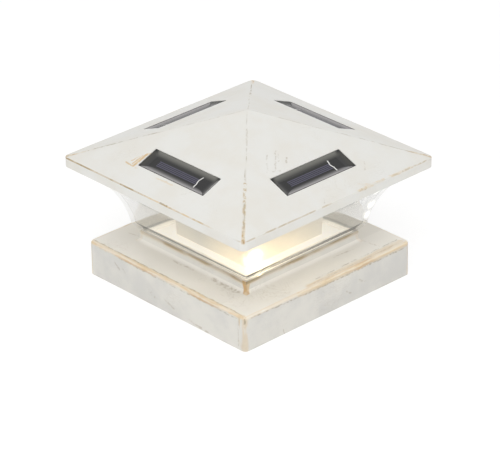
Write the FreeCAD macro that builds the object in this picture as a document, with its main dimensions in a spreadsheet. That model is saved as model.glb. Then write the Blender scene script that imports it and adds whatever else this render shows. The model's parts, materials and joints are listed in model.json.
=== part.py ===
"""Deck post cap light: a collar for a square post, a clear flared shade and a solar roof that lifts off.

Millimetres, +Z up. The origin is the centre of the collar's lower rim. Sides are named as seen from
the roof: front is -Y, right is +X, back is +Y and left is -X.
"""
import FreeCAD, Part
import Sketcher
import math
import os

os.makedirs("parts", exist_ok=True)
doc = FreeCAD.newDocument("post_cap_light")
Vector = FreeCAD.Vector

# ---------------------------------------------------------------- driving dimensions
SIZES = [
    # collar that drops over the post
    ("post_width", 127.0),
    ("post_gap", 1.0),
    ("collar_wall", 2.5),
    ("skirt_height", 22.0),
    ("deck_thickness", 2.5),
    ("skirt_corner", 3.0),
    ("skirt_edge", 1.5),
    ("plinth_width", 91.0),
    ("plinth_height", 6.6),
    ("plinth_wall", 2.5),
    ("plinth_cove", 2.6),
    ("plinth_edge", 0.6),
    ("floor_drop", 2.3),
    ("floor_thickness", 2.3),
    ("hatch_width", 56.0),
    # clear shade
    ("shade_wall", 2.2),
    ("shade_foot_rise", 5.0),
    ("shade_foot_run", 3.9),
    ("flare_rise", 32.1),
    ("flare_radius", 55.0),
    ("shade_lip_run", 4.6),
    ("shade_lip_rise", 4.3),
    ("shade_rim_height", 4.7),
    ("spigot_wall", 1.6),
    ("spigot_depth", 2.0),
    ("bond_gap", 0.6),
    # roof
    ("roof_width", 152.8),
    ("roof_overlap", 4.3),
    ("roof_shade_gap", 3.5),
    ("rim_height", 5.9),
    ("roof_rise", 30.1),
    ("apex_width", 1.6),
    ("roof_wall", 2.5),
    ("roof_corner", 4.0),
    ("seal_thickness", 1.2),
    ("seal_width", 4.4),
    # solar panels
    ("window_length", 55.0),
    ("window_height", 15.4),
    ("window_eave_gap", 16.5),
    ("window_depth", 3.0),
    ("seat_wall", 2.0),
    ("seat_margin", 3.0),
    ("panel_gap", 0.3),
    ("panel_board_thickness", 1.2),
    ("resin_thickness", 0.9),
    ("cell_length", 33.0),
    ("cell_width", 0.9),
    ("cell_pitch", 1.15),
    ("cell_shift", 2.0),
    ("cell_thickness", 0.25),
    ("ribbon_width", 0.9),
    ("ribbon_thickness", 0.12),
    ("ribbon_length", 8.8),
    ("ribbon_inset", 0.5),
    ("lead_hole_radius", 1.6),
    # housing
    ("housing_width", 60.0),
    ("housing_wall", 2.0),
    ("housing_rise", 1.5),
    ("housing_lift", 0.4),
    ("flange_land", 1.45),
    ("flange_thickness", 2.0),
    ("column_width", 6.5),
    ("board_height", 56.0),
    ("board_thickness", 1.6),
    ("board_gap", 0.8),
    ("floor_plate_lift", 0.4),
    ("floor_plate_thickness", 2.2),
    ("floor_plate_gap", 0.2),
    ("floor_column_rise", 9.0),
    ("screw_radius", 1.2),
    ("screw_head_radius", 2.3),
    ("screw_head_height", 1.6),
    ("screw_bite", 6.0),
    ("pilot_gap", 0.05),
    ("clearance_gap", 0.3),
    ("boss_radius", 3.2),
    # lamps
    ("lamp_radius", 2.5),
    ("lamp_inset", 6.5),
    ("lamp_rise", 5.6),
    ("lamp_hole_gap", 0.1),
    ("lamp_reach", 0.3),
    ("lamp_flange_radius", 2.9),
    ("lamp_flange_thickness", 1.0),
    ("lamp_board_length", 8.6),
    ("lamp_board_height", 12.0),
    ("lamp_board_thickness", 1.2),
    # battery
    ("battery_radius", 7.25),
    ("battery_length", 49.2),
    ("button_radius", 2.75),
    ("button_length", 1.3),
    ("contact_thickness", 0.4),
    ("leaf_bow", 1.2),
    ("contact_width", 9.0),
    ("holder_wall", 1.2),
    ("holder_gap", 0.4),
    ("battery_offset", 9.5),
    # battery door and switch
    ("door_thickness", 1.8),
    ("door_gap", 0.25),
    ("door_pin_radius", 0.6),
    ("door_pin_length", 1.0),
    ("pin_gap", 0.05),
    ("grip_depth", 0.6),
    ("switch_offset", 13.0),
    ("switch_length", 13.0),
    ("switch_width", 7.0),
    ("switch_height", 4.5),
    ("switch_travel", 3.0),
    ("knob_length", 4.0),
    ("knob_width", 3.0),
    ("knob_reach", 0.9),
    ("knob_gap", 0.25),
    # parts under the circuit board
    ("chip_length", 6.0),
    ("chip_width", 5.0),
    ("chip_height", 1.8),
    ("coil_radius", 3.5),
    ("coil_height", 5.0),
    ("can_radius", 2.5),
    ("can_height", 7.0),
    ("part_row", 10.0),
    ("part_spacing", 13.0),
    # leads
    ("lead_radius", 0.6),
    ("lead_end_run", 4.0),
    ("lead_inset", 4.0),
]

sheet = doc.addObject("Spreadsheet::Sheet", "Sizes")
for row, (alias, value) in enumerate(SIZES, start=1):
    sheet.set("A%d" % row, alias)
    sheet.set("B%d" % row, str(value))
    sheet.setAlias("B%d" % row, alias)
doc.recompute()


class Length:
    """A number with the expression that gives it, so that one sum both places and binds a feature."""

    def __init__(self, value, text):
        self.value = value
        self.text = text

    def joined(self, other, sign, value):
        return Length(value, "(%s %s %s)" % (self.text, sign, other.text))

    def __add__(self, other):
        other = as_length(other)
        return self.joined(other, "+", self.value + other.value)

    def __sub__(self, other):
        other = as_length(other)
        return self.joined(other, "-", self.value - other.value)

    def __mul__(self, other):
        other = as_length(other)
        return self.joined(other, "*", self.value * other.value)

    def __truediv__(self, other):
        other = as_length(other)
        return self.joined(other, "/", self.value / other.value)

    def __neg__(self):
        return self * -1


def as_length(number):
    if isinstance(number, Length):
        return number
    return Length(float(number), "%g" % number)


def root(length):
    return Length(math.sqrt(length.value), "sqrt(%s)" % length.text)


def size(alias):
    return Length(float(sheet.get(alias)), "Sizes.%s" % alias)


def place_of(x=0, y=0, z=0):
    return "placement(vector(%s; %s; %s); rotationz(0))" % tuple(as_length(v).text for v in (x, y, z))


def turn(angle):
    return "placement(vector(0; 0; 0); rotationz(%g))" % angle


def tilt(about_y):
    return "placement(vector(0; 0; 0); rotationy(%s))" % about_y


# ---------------------------------------------------------------- features
NODES = []


def node(feature, name):
    feature.Label = name
    NODES.append(feature)
    return feature


def bind(feature, **lengths):
    for prop, length in lengths.items():
        feature.setExpression(prop, as_length(length).text)
    return feature


def put(feature, *steps):
    """Places a feature by a chain of placements, each in the frame of the one before."""
    feature.setExpression("Placement", " * ".join(steps))
    return feature


def box(name, length, width, height, *steps):
    made = bind(doc.addObject("Part::Box", name), Length=length, Width=width, Height=height)
    return put(made, *steps)


def rod(name, radius, height, *steps):
    made = bind(doc.addObject("Part::Cylinder", name), Radius=radius, Height=height)
    return put(made, *steps)


def ball(name, radius, *steps):
    return put(bind(doc.addObject("Part::Sphere", name), Radius=radius), *steps)


def cut(name, base, tool):
    made = doc.addObject("Part::Cut", name)
    made.Base = base
    made.Tool = tool
    return made


def fuse(name, shapes):
    made = doc.addObject("Part::MultiFuse", name)
    made.Shapes = shapes
    return made


def group(name, shapes):
    made = doc.addObject("Part::Compound", name)
    made.Links = shapes
    return made


def new_body(name):
    return doc.addObject("PartDesign::Body", name)


def origin_plane(body, role):
    return next(item for item in body.Origin.OriginFeatures if item.Role == role)


def new_sketch(body, name, role="XY_Plane", lift=None):
    made = body.newObject("Sketcher::SketchObject", name)
    made.AttachmentSupport = [(origin_plane(body, role), "")]
    made.MapMode = "FlatFace"
    if lift is not None:
        made.AttachmentOffset = FreeCAD.Placement(Vector(0, 0, lift.value), FreeCAD.Rotation())
        made.setExpression(".AttachmentOffset.Base.z", lift.text)
    return made


def pin_point(sketch, item, end, x, y):
    """Holds one end of a sketch edge at a bound place measured from the sketch's origin."""
    for value, kind, axis in ((x, "DistanceX", -2), (y, "DistanceY", -1)):
        if value.value == 0:
            sketch.addConstraint(Sketcher.Constraint("PointOnObject", item, end, axis))
            continue
        index = sketch.addConstraint(Sketcher.Constraint(kind, -1, 1, item, end, value.value))
        sketch.setExpression("Constraints[%d]" % index, value.text)


def arc_between(start, end, radius):
    """The short arc from start to end. A positive radius has its centre on the left of the way."""
    chord = end.sub(start)
    middle = (start + end) * 0.5
    side = Vector(-chord.y, chord.x, 0).normalize()
    rise = math.sqrt(max(radius * radius - chord.Length * chord.Length / 4, 0))
    centre = middle + side * (rise if radius > 0 else -rise)
    low, high = (start, end) if radius > 0 else (end, start)
    first = math.atan2(low.y - centre.y, low.x - centre.x)
    last = math.atan2(high.y - centre.y, high.x - centre.x)
    if last < first:
        last += math.pi * 2
    return Part.ArcOfCircle(Part.Circle(centre, Vector(0, 0, 1), abs(radius)), first, last)


def trace(sketch, points, closed=True):
    """Draws (x, y) or (x, y, radius) points; a radius makes the edge after that point an arc."""
    points = [tuple(as_length(v) for v in point) for point in points]
    count = len(points) if closed else len(points) - 1
    spots = [Vector(point[0].value, point[1].value, 0) for point in points]
    first = sketch.GeometryCount
    for index in range(count):
        start = spots[index]
        end = spots[(index + 1) % len(points)]
        if len(points[index]) == 3:
            sketch.addGeometry(arc_between(start, end, points[index][2].value))
        else:
            sketch.addGeometry(Part.LineSegment(start, end))
    ends = []
    for index in range(count):
        geometry = sketch.Geometry[first + index]
        forward = geometry.StartPoint.distanceToPoint(spots[index]) < 1e-6
        ends.append((1, 2) if forward else (2, 1))
    for index in range(count if closed else count - 1):
        after = (index + 1) % count
        sketch.addConstraint(
            Sketcher.Constraint("Coincident", first + index, ends[index][1], first + after, ends[after][0])
        )
    for index in range(count):
        pin_point(sketch, first + index, ends[index][0], points[index][0], points[index][1])
        if len(points[index]) == 3:
            radius = points[index][2]
            datum = radius if radius.value > 0 else -radius
            made = sketch.addConstraint(Sketcher.Constraint("Radius", first + index, datum.value))
            sketch.setExpression("Constraints[%d]" % made, datum.text)
    if not closed:
        pin_point(sketch, first + count - 1, ends[-1][1], points[-1][0], points[-1][1])


def square(half, corner=None):
    """The points of a centred square, with arcs at its corners where a corner radius is given."""
    half = as_length(half)
    if corner is None:
        return [(-half, -half), (half, -half), (half, half), (-half, half)]
    run = half - corner
    return [
        (-run, -half), (run, -half, corner), (half, -run), (half, run, corner),
        (run, half), (-run, half, corner), (-half, run), (-half, -run, corner),
    ]


def rectangle(x_low, y_low, x_high, y_high):
    return [(x_low, y_low), (x_high, y_low), (x_high, y_high), (x_low, y_high)]


def circle(sketch, x, y, radius):
    index = sketch.addGeometry(Part.Circle(Vector(x.value, y.value, 0), Vector(0, 0, 1), radius.value))
    pin_point(sketch, index, 3, x, y)
    made = sketch.addConstraint(Sketcher.Constraint("Radius", index, radius.value))
    sketch.setExpression("Constraints[%d]" % made, radius.text)


def extrude(body, kind, name, lift, outlines, length):
    """Adds or cuts a prism that rises from a height by a length."""
    sketch = new_sketch(body, name + "_outline", lift=lift)
    for outline in outlines:
        trace(sketch, outline)
    made = body.newObject("PartDesign::" + kind, name)
    made.Profile = sketch
    bind(made, Length=length)
    if kind == "Pocket":
        made.Reversed = True
    doc.recompute()
    return made


def drill(body, name, lift, spots, radius, length, kind="Pocket"):
    """Cuts round holes, or adds round posts, that rise from a height."""
    sketch = new_sketch(body, name + "_outline", lift=lift)
    for x, y in spots:
        circle(sketch, as_length(x), as_length(y), radius)
    made = body.newObject("PartDesign::" + kind, name)
    made.Profile = sketch
    bind(made, Length=length)
    if kind == "Pocket":
        made.Reversed = True
    doc.recompute()
    return made


def loft(body, kind, name, low, low_outline, high, high_outline):
    lower = new_sketch(body, name + "_low", lift=low)
    trace(lower, low_outline)
    upper = new_sketch(body, name + "_high", lift=high)
    trace(upper, high_outline)
    made = body.newObject("PartDesign::" + kind, name)
    made.Profile = lower
    made.Sections = [upper]
    made.Ruled = True
    doc.recompute()
    return made


def across(body, kind, name, outline, width):
    """Adds or cuts a prism whose XZ outline runs equally far to both sides along Y."""
    sketch = new_sketch(body, name + "_outline", role="XZ_Plane")
    trace(sketch, outline)
    made = body.newObject("PartDesign::" + kind, name)
    made.Profile = sketch
    made.Midplane = True
    bind(made, Length=width)
    doc.recompute()
    return made


def all_round(body, name, originals):
    """Repeats features on all four sides."""
    made = body.newObject("PartDesign::PolarPattern", name)
    made.Originals = originals
    made.Axis = (next(item for item in body.Origin.OriginFeatures if item.Role == "Z_Axis"), [""])
    made.Angle = 360
    made.Occurrences = 4
    body.Tip = made
    doc.recompute()
    return made


def dress(body, kind, name, chosen, length):
    """Rounds or bevels the chosen edges of the body as it stands."""
    base = body.Tip
    edges = [
        "Edge%d" % number
        for number, edge in enumerate(base.Shape.Edges, start=1)
        if chosen(edge)
    ]
    made = body.newObject("PartDesign::" + kind, name)
    made.Base = (base, edges)
    bind(made, **{"Radius" if kind == "Fillet" else "Size": length})
    doc.recompute()
    return made


def level_ring(height, half):
    """Chooses the edges of a centred square outline at one height, its corner arcs included."""

    def chosen(edge):
        limits = edge.BoundBox
        reach = max(abs(limits.XMin), abs(limits.XMax), abs(limits.YMin), abs(limits.YMax))
        level = abs(limits.ZMin - height.value) < 1e-4 and abs(limits.ZMax - height.value) < 1e-4
        return level and abs(reach - half.value) < 1e-4

    return chosen


QUARTERS = {"right": 0, "back": 90, "left": 180, "front": 270}
CELL_ROWS = 4
GRIP_GROOVES = 4
BEND_SHARE = 0.45  # share of a lead's shorter run that its bend takes up

# ---------------------------------------------------------------- heights and reaches that pieces share
collar_half = size("post_width") / 2 + size("post_gap") + size("collar_wall")
socket_half = size("post_width") / 2 + size("post_gap")
deck_top = size("skirt_height")
plinth_half = size("plinth_width") / 2
plinth_top = deck_top + size("plinth_height")
plinth_bore = plinth_half - size("plinth_wall")
floor_top = plinth_top - size("floor_drop")
hatch_half = size("hatch_width") / 2

roof_half = size("roof_width") / 2
rim_bore = roof_half - size("roof_wall")
lip_half = rim_bore - size("roof_shade_gap")

shade_foot = plinth_top + size("bond_gap")
flare_low = (plinth_half + size("shade_foot_run"), shade_foot + size("shade_foot_rise"))
flare_high = (lip_half - size("shade_lip_run"), flare_low[1] + size("flare_rise"))
shade_lip = (lip_half, flare_high[1] + size("shade_lip_rise"))
shade_top = shade_lip[1] + size("shade_rim_height")

rim_low = shade_top - size("roof_overlap")
eave = rim_low + size("rim_height")
apex_half = size("apex_width") / 2
apex = eave + size("roof_rise")
ledge = shade_top + size("seal_thickness")
ledge_half = lip_half - size("seal_width")

slope_run = roof_half - apex_half
slope_length = root(slope_run * slope_run + size("roof_rise") * size("roof_rise"))
slope_cos = slope_run / slope_length
slope_sin = size("roof_rise") / slope_length
SLOPE = "atan(%s)" % (size("roof_rise") / slope_run).text

housing_half = size("housing_width") / 2
housing_bore = housing_half - size("housing_wall")
housing_low = floor_top + size("housing_lift")
housing_top = ledge + size("housing_rise")
plate_low = housing_low + size("floor_plate_lift")
plate_top = plate_low + size("floor_plate_thickness")
column_half = size("column_width") / 2
column_spot = housing_bore - column_half
board_low = size("board_height")
board_top = board_low + size("board_thickness")
pilot = size("screw_radius") + size("pilot_gap")
screw_hole = size("screw_radius") + size("clearance_gap")
flange_corner = size("screw_head_radius") + size("flange_land")
boss_spot = housing_half + flange_corner
flange_half = boss_spot + flange_corner
flange_low = housing_top - size("flange_thickness")


def four_spots(reach):
    return [(reach, reach), (-reach, reach), (-reach, -reach), (reach, -reach)]


column_spots = four_spots(column_spot)
floor_screw_spots = column_spots[::2]
flange_spots = four_spots(boss_spot)


# ---------------------------------------------------------------- collar
def base_collar():
    body = new_body("base_collar")
    extrude(body, "Pad", "skirt", as_length(0), [square(collar_half, size("skirt_corner"))], deck_top)
    extrude(body, "Pad", "plinth", deck_top, [square(plinth_half)], size("plinth_height"))
    socket_depth = deck_top - size("deck_thickness")
    extrude(body, "Pocket", "socket", as_length(0), [square(socket_half)], socket_depth)
    hollow_depth = floor_top - size("floor_thickness") - socket_depth
    extrude(body, "Pocket", "hollow", socket_depth, [square(plinth_bore)], hollow_depth)
    extrude(body, "Pocket", "recess", floor_top, [square(plinth_bore)], size("floor_drop"))
    hatch_low = floor_top - size("floor_thickness")
    extrude(body, "Pocket", "hatch", hatch_low, [square(hatch_half)], size("floor_thickness"))
    dress(body, "Fillet", "cove", level_ring(deck_top, plinth_half), size("plinth_cove"))
    dress(body, "Fillet", "deck_edge", level_ring(deck_top, collar_half), size("skirt_edge"))
    dress(body, "Fillet", "plinth_rim", level_ring(plinth_top, plinth_half), size("plinth_edge"))
    node(body, "base_collar")


def square_ring(name, low, outer, inner, height):
    body = new_body(name)
    extrude(body, "Pad", "ring", low, [square(outer), square(inner)], height)
    node(body, name)


# ---------------------------------------------------------------- clear shade
def shade():
    """A flared wall swept round the plinth, with a spigot that drops inside the plinth's rim."""
    body = new_body("lens_shade")
    path = new_sketch(body, "path")
    trace(path, [
        (plinth_half, 0), (plinth_half, plinth_half), (-plinth_half, plinth_half),
        (-plinth_half, -plinth_half), (plinth_half, -plinth_half), (plinth_half, 0),
    ], closed=False)
    wall = size("shade_wall")
    spigot = plinth_bore - size("bond_gap")
    spigot_low = plinth_top - size("spigot_depth")
    leaning = math.sqrt(0.5)
    outline = new_sketch(body, "wall_outline", role="XZ_Plane")
    trace(outline, [
        (plinth_half, shade_foot),
        (flare_low[0], flare_low[1], -size("flare_radius")),
        flare_high,
        shade_lip,
        (shade_lip[0], shade_top),
        (shade_lip[0] - wall, shade_top),
        (shade_lip[0] - wall, shade_lip[1] + wall / 2),
        (flare_high[0] - wall * leaning, flare_high[1] + wall * leaning, size("flare_radius") + wall),
        (flare_low[0] - wall, flare_low[1]),
        (plinth_half - wall, shade_foot + wall / 2),
        (spigot - size("spigot_wall"), shade_foot + wall / 2),
        (spigot - size("spigot_wall"), spigot_low),
        (spigot, spigot_low),
        (spigot, shade_foot),
    ])
    made = body.newObject("PartDesign::AdditivePipe", "wall")
    made.Profile = outline
    made.Spine = path
    made.Transition = "Right corner"
    doc.recompute()
    node(body, "lens_shade")


# ---------------------------------------------------------------- roof
def slope_point(down, depth):
    """A point in the XZ outline: down the slope from the eave is negative, depth goes into the shell."""
    x = roof_half + down * slope_cos - depth * slope_sin
    z = eave - down * slope_sin - depth * slope_cos
    return x, z


window_low = -size("window_eave_gap")
window_high = window_low - size("window_height")


def roof_cap():
    body = new_body("roof_cap")
    corner = size("roof_corner")
    tip_corner = apex_half / 2
    extrude(body, "Pad", "rim", rim_low, [square(roof_half, corner)], size("rim_height"))
    loft(body, "AdditiveLoft", "slopes", eave, square(roof_half, corner), apex, square(apex_half, tip_corner))
    extrude(body, "Pocket", "rim_hollow", rim_low, [square(rim_bore)], ledge - rim_low)
    peak = apex - size("roof_wall") / slope_cos
    loft(body, "SubtractiveLoft", "attic", ledge, square(ledge_half), peak, square(apex_half))
    margin = size("seat_margin")
    seat_depth = size("window_depth") + size("seat_wall")
    seat_high = window_high - margin
    seat_low = window_low + margin
    cover = size("roof_wall") / 2
    seat = across(body, "Pad", "seat", [
        slope_point(seat_low, cover), slope_point(seat_low, seat_depth),
        slope_point(seat_high, seat_depth), slope_point(seat_high, cover),
    ], size("window_length") + margin * 2)
    all_round(body, "seats", [seat])
    above = -size("window_depth")
    window = across(body, "Pocket", "window", [
        slope_point(window_low, above), slope_point(window_low, size("window_depth")),
        slope_point(window_high, size("window_depth")), slope_point(window_high, above),
    ], size("window_length"))
    all_round(body, "windows", [window])
    lead_x, lead_z = slope_point((window_low + window_high) / 2, seat_depth)
    hole = drill(body, "lead_hole", lead_z - seat_depth, [(lead_x, as_length(0))],
                 size("lead_hole_radius"), seat_depth * 2)
    all_round(body, "lead_holes", [hole])
    attic_slope = (peak - ledge) / (ledge_half - apex_half)
    boss_top = ledge + (ledge_half - boss_spot + size("boss_radius")) * attic_slope + size("roof_wall") / 4
    boss = drill(body, "boss", housing_top, [(boss_spot, boss_spot)],
                 size("boss_radius"), boss_top - housing_top, kind="Pad")
    all_round(body, "bosses", [boss])
    bore = drill(body, "boss_bore", housing_top, [(boss_spot, boss_spot)],
                 pilot, size("screw_bite") + size("clearance_gap"))
    all_round(body, "boss_bores", [bore])
    node(body, "roof_cap")


# ---------------------------------------------------------------- solar panels
def slope_place(side, down, across_slope, above_seat):
    """A placement on the seat of one window, with local x down the slope and local z out of the roof."""
    depth = size("window_depth")
    return (
        turn(QUARTERS[side]),
        place_of(roof_half, 0, eave),
        tilt(SLOPE),
        place_of(down, across_slope, above_seat - depth),
    )


def solar_panel(side):
    gap = size("panel_gap")
    board_length = size("window_length") - gap * 2
    board_height = size("window_height") - gap * 2
    board_rise = size("panel_board_thickness")
    node(box("board_" + side, board_height, board_length, board_rise,
             *slope_place(side, window_high + gap, -board_length / 2, as_length(0))),
         "panel_board_" + side)
    middle = (window_high + window_low) / 2
    strip_start = -size("cell_length") / 2 - size("cell_shift")
    strips = []
    for row in range(CELL_ROWS):
        edge = middle + size("cell_pitch") * (row - (CELL_ROWS - 1) / 2) - size("cell_width") / 2
        spot = slope_place(side, edge, strip_start, board_rise)
        strips.append(box("strip_%s_%d" % (side, row), size("cell_width"), size("cell_length"),
                          size("cell_thickness"), *spot))
    node(group("strips_" + side, strips), "cell_strips_" + side)
    ribbon_spot = slope_place(side, middle - size("ribbon_length") / 2,
                              strip_start + size("cell_length") - size("ribbon_inset"),
                              board_rise + size("cell_thickness"))
    ribbon = node(box("ribbon_" + side, size("ribbon_length"), size("ribbon_width"),
                      size("ribbon_thickness"), *ribbon_spot), "cell_ribbon_" + side)
    block = box("resin_block_" + side, board_height, board_length, size("resin_thickness"),
                *slope_place(side, window_high + gap, -board_length / 2, board_rise))
    relief = fuse("resin_relief_" + side, strips + [ribbon])
    node(cut("resin_" + side, block, relief), "resin_cover_" + side)


# ---------------------------------------------------------------- housing
def corner_squares(spots):
    return [
        rectangle(x - column_half, y - column_half, x + column_half, y + column_half)
        for x, y in spots
    ]


def light_housing():
    body = new_body("light_housing")
    extrude(body, "Pad", "walls", housing_low, [square(housing_half), square(housing_bore)],
            housing_top - housing_low)
    extrude(body, "Pad", "flange", flange_low,
            [square(flange_half, flange_corner), square(housing_bore)], size("flange_thickness"))
    column_rise = housing_top - board_top
    extrude(body, "Pad", "board_columns", board_top, corner_squares(column_spots), column_rise)
    extrude(body, "Pad", "floor_columns", plate_top, corner_squares(floor_screw_spots),
            size("floor_column_rise"))
    bite = size("screw_bite") + size("clearance_gap")
    drill(body, "board_pilots", board_top, column_spots, pilot, bite)
    drill(body, "floor_pilots", plate_top, floor_screw_spots, pilot, bite)
    drill(body, "flange_holes", flange_low, flange_spots, screw_hole, size("flange_thickness"))
    for name, way in (("lamp_hole_right", 1), ("lamp_hole_left", -1)):
        sketch = new_sketch(body, name + "_outline", role="YZ_Plane")
        circle(sketch, -lamp_spot * way, lamp_height, size("lamp_radius") + size("lamp_hole_gap"))
        made = body.newObject("PartDesign::Pocket", name)
        made.Profile = sketch
        made.Reversed = way > 0
        bind(made, Length=housing_half + size("housing_wall"))
        doc.recompute()
    node(body, "light_housing")


def screw(name, x, y, seat, bite):
    """A pan head below a seat with its shank rising above it."""
    head = rod(name + "_head", size("screw_head_radius"), size("screw_head_height"),
               place_of(x, y, seat - size("screw_head_height")))
    shank = rod(name + "_shank", size("screw_radius"), bite, place_of(x, y, seat))
    return fuse(name, [head, shank])


def screws():
    sets = (
        ("housing_screws", flange_spots, flange_low, size("flange_thickness") + size("screw_bite")),
        ("board_screws", column_spots, board_low, size("board_thickness") + size("screw_bite")),
        ("floor_screws", floor_screw_spots, plate_low,
         size("floor_plate_thickness") + size("screw_bite")),
    )
    for name, spots, seat, bite in sets:
        made = [
            screw("%s_%d" % (name, number), x, y, seat, bite)
            for number, (x, y) in enumerate(spots)
        ]
        node(group(name, made), name)


# ---------------------------------------------------------------- battery bay, door and switch
battery_y = -size("battery_offset")
bay_half = size("battery_radius") + size("holder_gap")
bay_reach = housing_bore - size("floor_plate_gap") - size("holder_wall")
battery_z = plate_top + size("battery_radius") + size("holder_gap")
holder_top = battery_z + size("battery_radius") + size("holder_gap")
hinge_y = battery_y - bay_half + size("door_thickness") / 2 + size("door_gap")
hinge_z = plate_low + size("door_thickness") / 2
switch_y = size("switch_offset")


def housing_floor():
    body = new_body("housing_floor")
    extrude(body, "Pad", "plate", plate_low, [square(housing_bore - size("floor_plate_gap"))],
            size("floor_plate_thickness"))
    bay = rectangle(-bay_reach, battery_y - bay_half, bay_reach, battery_y + bay_half)
    extrude(body, "Pocket", "bay", plate_low, [bay], size("floor_plate_thickness"))
    reach = (size("knob_length") + size("switch_travel")) / 2 + size("knob_gap")
    half = size("knob_width") / 2 + size("knob_gap")
    extrude(body, "Pocket", "knob_slot", plate_low,
            [rectangle(-reach, switch_y - half, reach, switch_y + half)], size("floor_plate_thickness"))
    drill(body, "screw_holes", plate_low, floor_screw_spots, screw_hole, size("floor_plate_thickness"))
    sketch = new_sketch(body, "pin_hole_outline", role="YZ_Plane")
    circle(sketch, hinge_y, hinge_z, size("door_pin_radius") + size("pin_gap"))
    made = body.newObject("PartDesign::Pocket", "pin_holes")
    made.Profile = sketch
    made.Midplane = True
    bind(made, Length=(bay_reach - size("door_gap") + size("door_pin_length") + size("pin_gap")) * 2)
    doc.recompute()
    node(body, "housing_floor")


def battery_holder():
    """A trough, open below, whose end walls carry the contacts."""
    body = new_body("battery_holder")
    wall = size("holder_wall")
    outer = rectangle(-bay_reach - wall, battery_y - bay_half - wall,
                      bay_reach + wall, battery_y + bay_half + wall)
    inner = rectangle(-bay_reach, battery_y - bay_half, bay_reach, battery_y + bay_half)
    extrude(body, "Pad", "block", plate_top, [outer], holder_top + wall - plate_top)
    extrude(body, "Pocket", "trough", plate_top, [inner], holder_top - plate_top)
    node(body, "battery_holder")


def along_x(x, y, z):
    return (place_of(x, y, z), "placement(vector(0; 0; 0); rotationy(90))")


def battery():
    thick = size("contact_thickness")
    button_end = bay_reach - thick
    shoulder = button_end - size("button_length")
    cell = rod("cell", size("battery_radius"), size("battery_length"),
               *along_x(shoulder - size("battery_length"), battery_y, battery_z))
    node(cell, "battery_cell")
    node(rod("button", size("button_radius"), size("button_length"),
             *along_x(shoulder, battery_y, battery_z)), "battery_button")
    half = size("contact_width") / 2
    node(box("plate_blank", thick, half * 2, half * 2,
             place_of(button_end, battery_y - half, battery_z - half)), "contact_plate")
    leaf = new_body("contact_leaf")
    rest = shoulder - size("battery_length")
    room = rest + bay_reach
    sketch = new_sketch(leaf, "leaf_outline", role="XZ_Plane")
    bow = size("leaf_bow")
    radius = (half * half + bow * bow) / (bow * 2)
    back = -bay_reach
    trace(sketch, [
        (back, battery_z - half), (back + room - bow, battery_z - half, radius),
        (back + room - bow, battery_z + half), (back, battery_z + half),
        (back, battery_z + half - thick), (back + room - bow - thick, battery_z + half - thick, -radius),
        (back + room - bow - thick, battery_z - half + thick), (back, battery_z - half + thick),
    ])
    made = leaf.newObject("PartDesign::Pad", "leaf")
    made.Profile = sketch
    made.Midplane = True
    bind(made, Length=size("contact_width"))
    doc.recompute()
    leaf.setExpression(".Placement.Base.y", battery_y.text)
    node(leaf, "contact_leaf")


def battery_door():
    """A plate that fills the bay's mouth and turns on two stub pins at its front edge."""
    gap = size("door_gap")
    reach = bay_reach - gap
    radius = size("door_thickness") / 2
    far_edge = battery_y + bay_half - gap
    plate = box("door_plate", reach * 2, far_edge - hinge_y, size("door_thickness"),
                place_of(-reach, hinge_y, plate_low))
    barrel = rod("door_barrel", radius, reach * 2, *along_x(-reach, hinge_y, hinge_z))
    pins = rod("door_pins", size("door_pin_radius"), (reach + size("door_pin_length")) * 2,
               *along_x(-reach - size("door_pin_length"), hinge_y, hinge_z))
    whole = fuse("door_whole", [plate, barrel, pins])
    grooves = []
    for number in range(GRIP_GROOVES):
        grooves.append(box("groove_%d" % number, reach / 2, size("grip_depth"), size("grip_depth"),
                           place_of(-reach / 4, far_edge - size("grip_depth") * (number * 2 + 2), plate_low)))
    node(cut("door", whole, fuse("door_grooves", grooves)), "battery_door")


def power_switch():
    """A frame on the floor plate with a slider whose knob pokes through the plate's slot."""
    length = size("switch_length")
    width = size("switch_width")
    wall = size("housing_wall") / 2
    frame = box("frame_block", length, width, size("switch_height"),
                place_of(-length / 2, switch_y - width / 2, plate_top))
    slider_length = length - wall * 2 - size("switch_travel") - size("knob_gap") * 2
    slider_width = width - wall * 2 - size("knob_gap") * 2
    slider_height = size("switch_height") - wall - size("knob_gap")
    hollow = box("frame_hollow", length - wall * 2, width - wall * 2, size("switch_height") - wall,
                 place_of(-length / 2 + wall, switch_y - width / 2 + wall, plate_top))
    node(cut("frame", frame, hollow), "switch_frame")
    off = -size("switch_travel") / 2
    lift = size("knob_gap") / 2
    block = box("slider_block", slider_length, slider_width, slider_height - lift,
                place_of(off - slider_length / 2, switch_y - slider_width / 2, plate_top + lift))
    knob = box("slider_knob", size("knob_length"), size("knob_width"),
               size("floor_plate_thickness") + size("knob_reach") + lift,
               place_of(off - size("knob_length") / 2, switch_y - size("knob_width") / 2,
                        plate_low - size("knob_reach")))
    node(fuse("slider", [block, knob]), "switch_slider")


# ---------------------------------------------------------------- circuit board and lamps
def circuit_board():
    half = housing_bore - size("board_gap")
    board = box("board_blank", half * 2, half * 2, size("board_thickness"), place_of(-half, -half, board_low))
    holes = [
        rod("board_hole_%d" % number, screw_hole, size("board_thickness"), place_of(x, y, board_low))
        for number, (x, y) in enumerate(column_spots)
    ]
    node(cut("board", board, fuse("board_holes", holes)), "circuit_board")
    node(box("chip", size("chip_length"), size("chip_width"), size("chip_height"),
             place_of(-size("chip_length") / 2, size("part_row") - size("chip_width") / 2,
                      board_low - size("chip_height"))), "charge_chip")
    node(rod("coil", size("coil_radius"), size("coil_height"),
             place_of(-size("part_spacing"), size("part_row"), board_low - size("coil_height"))),
         "storage_inductor")
    node(rod("can", size("can_radius"), size("can_height"),
             place_of(size("part_spacing"), size("part_row"), board_low - size("can_height"))),
         "smoothing_capacitor")


lamp_spot = housing_half - size("lamp_inset")
lamp_height = housing_low + size("lamp_rise")


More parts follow.
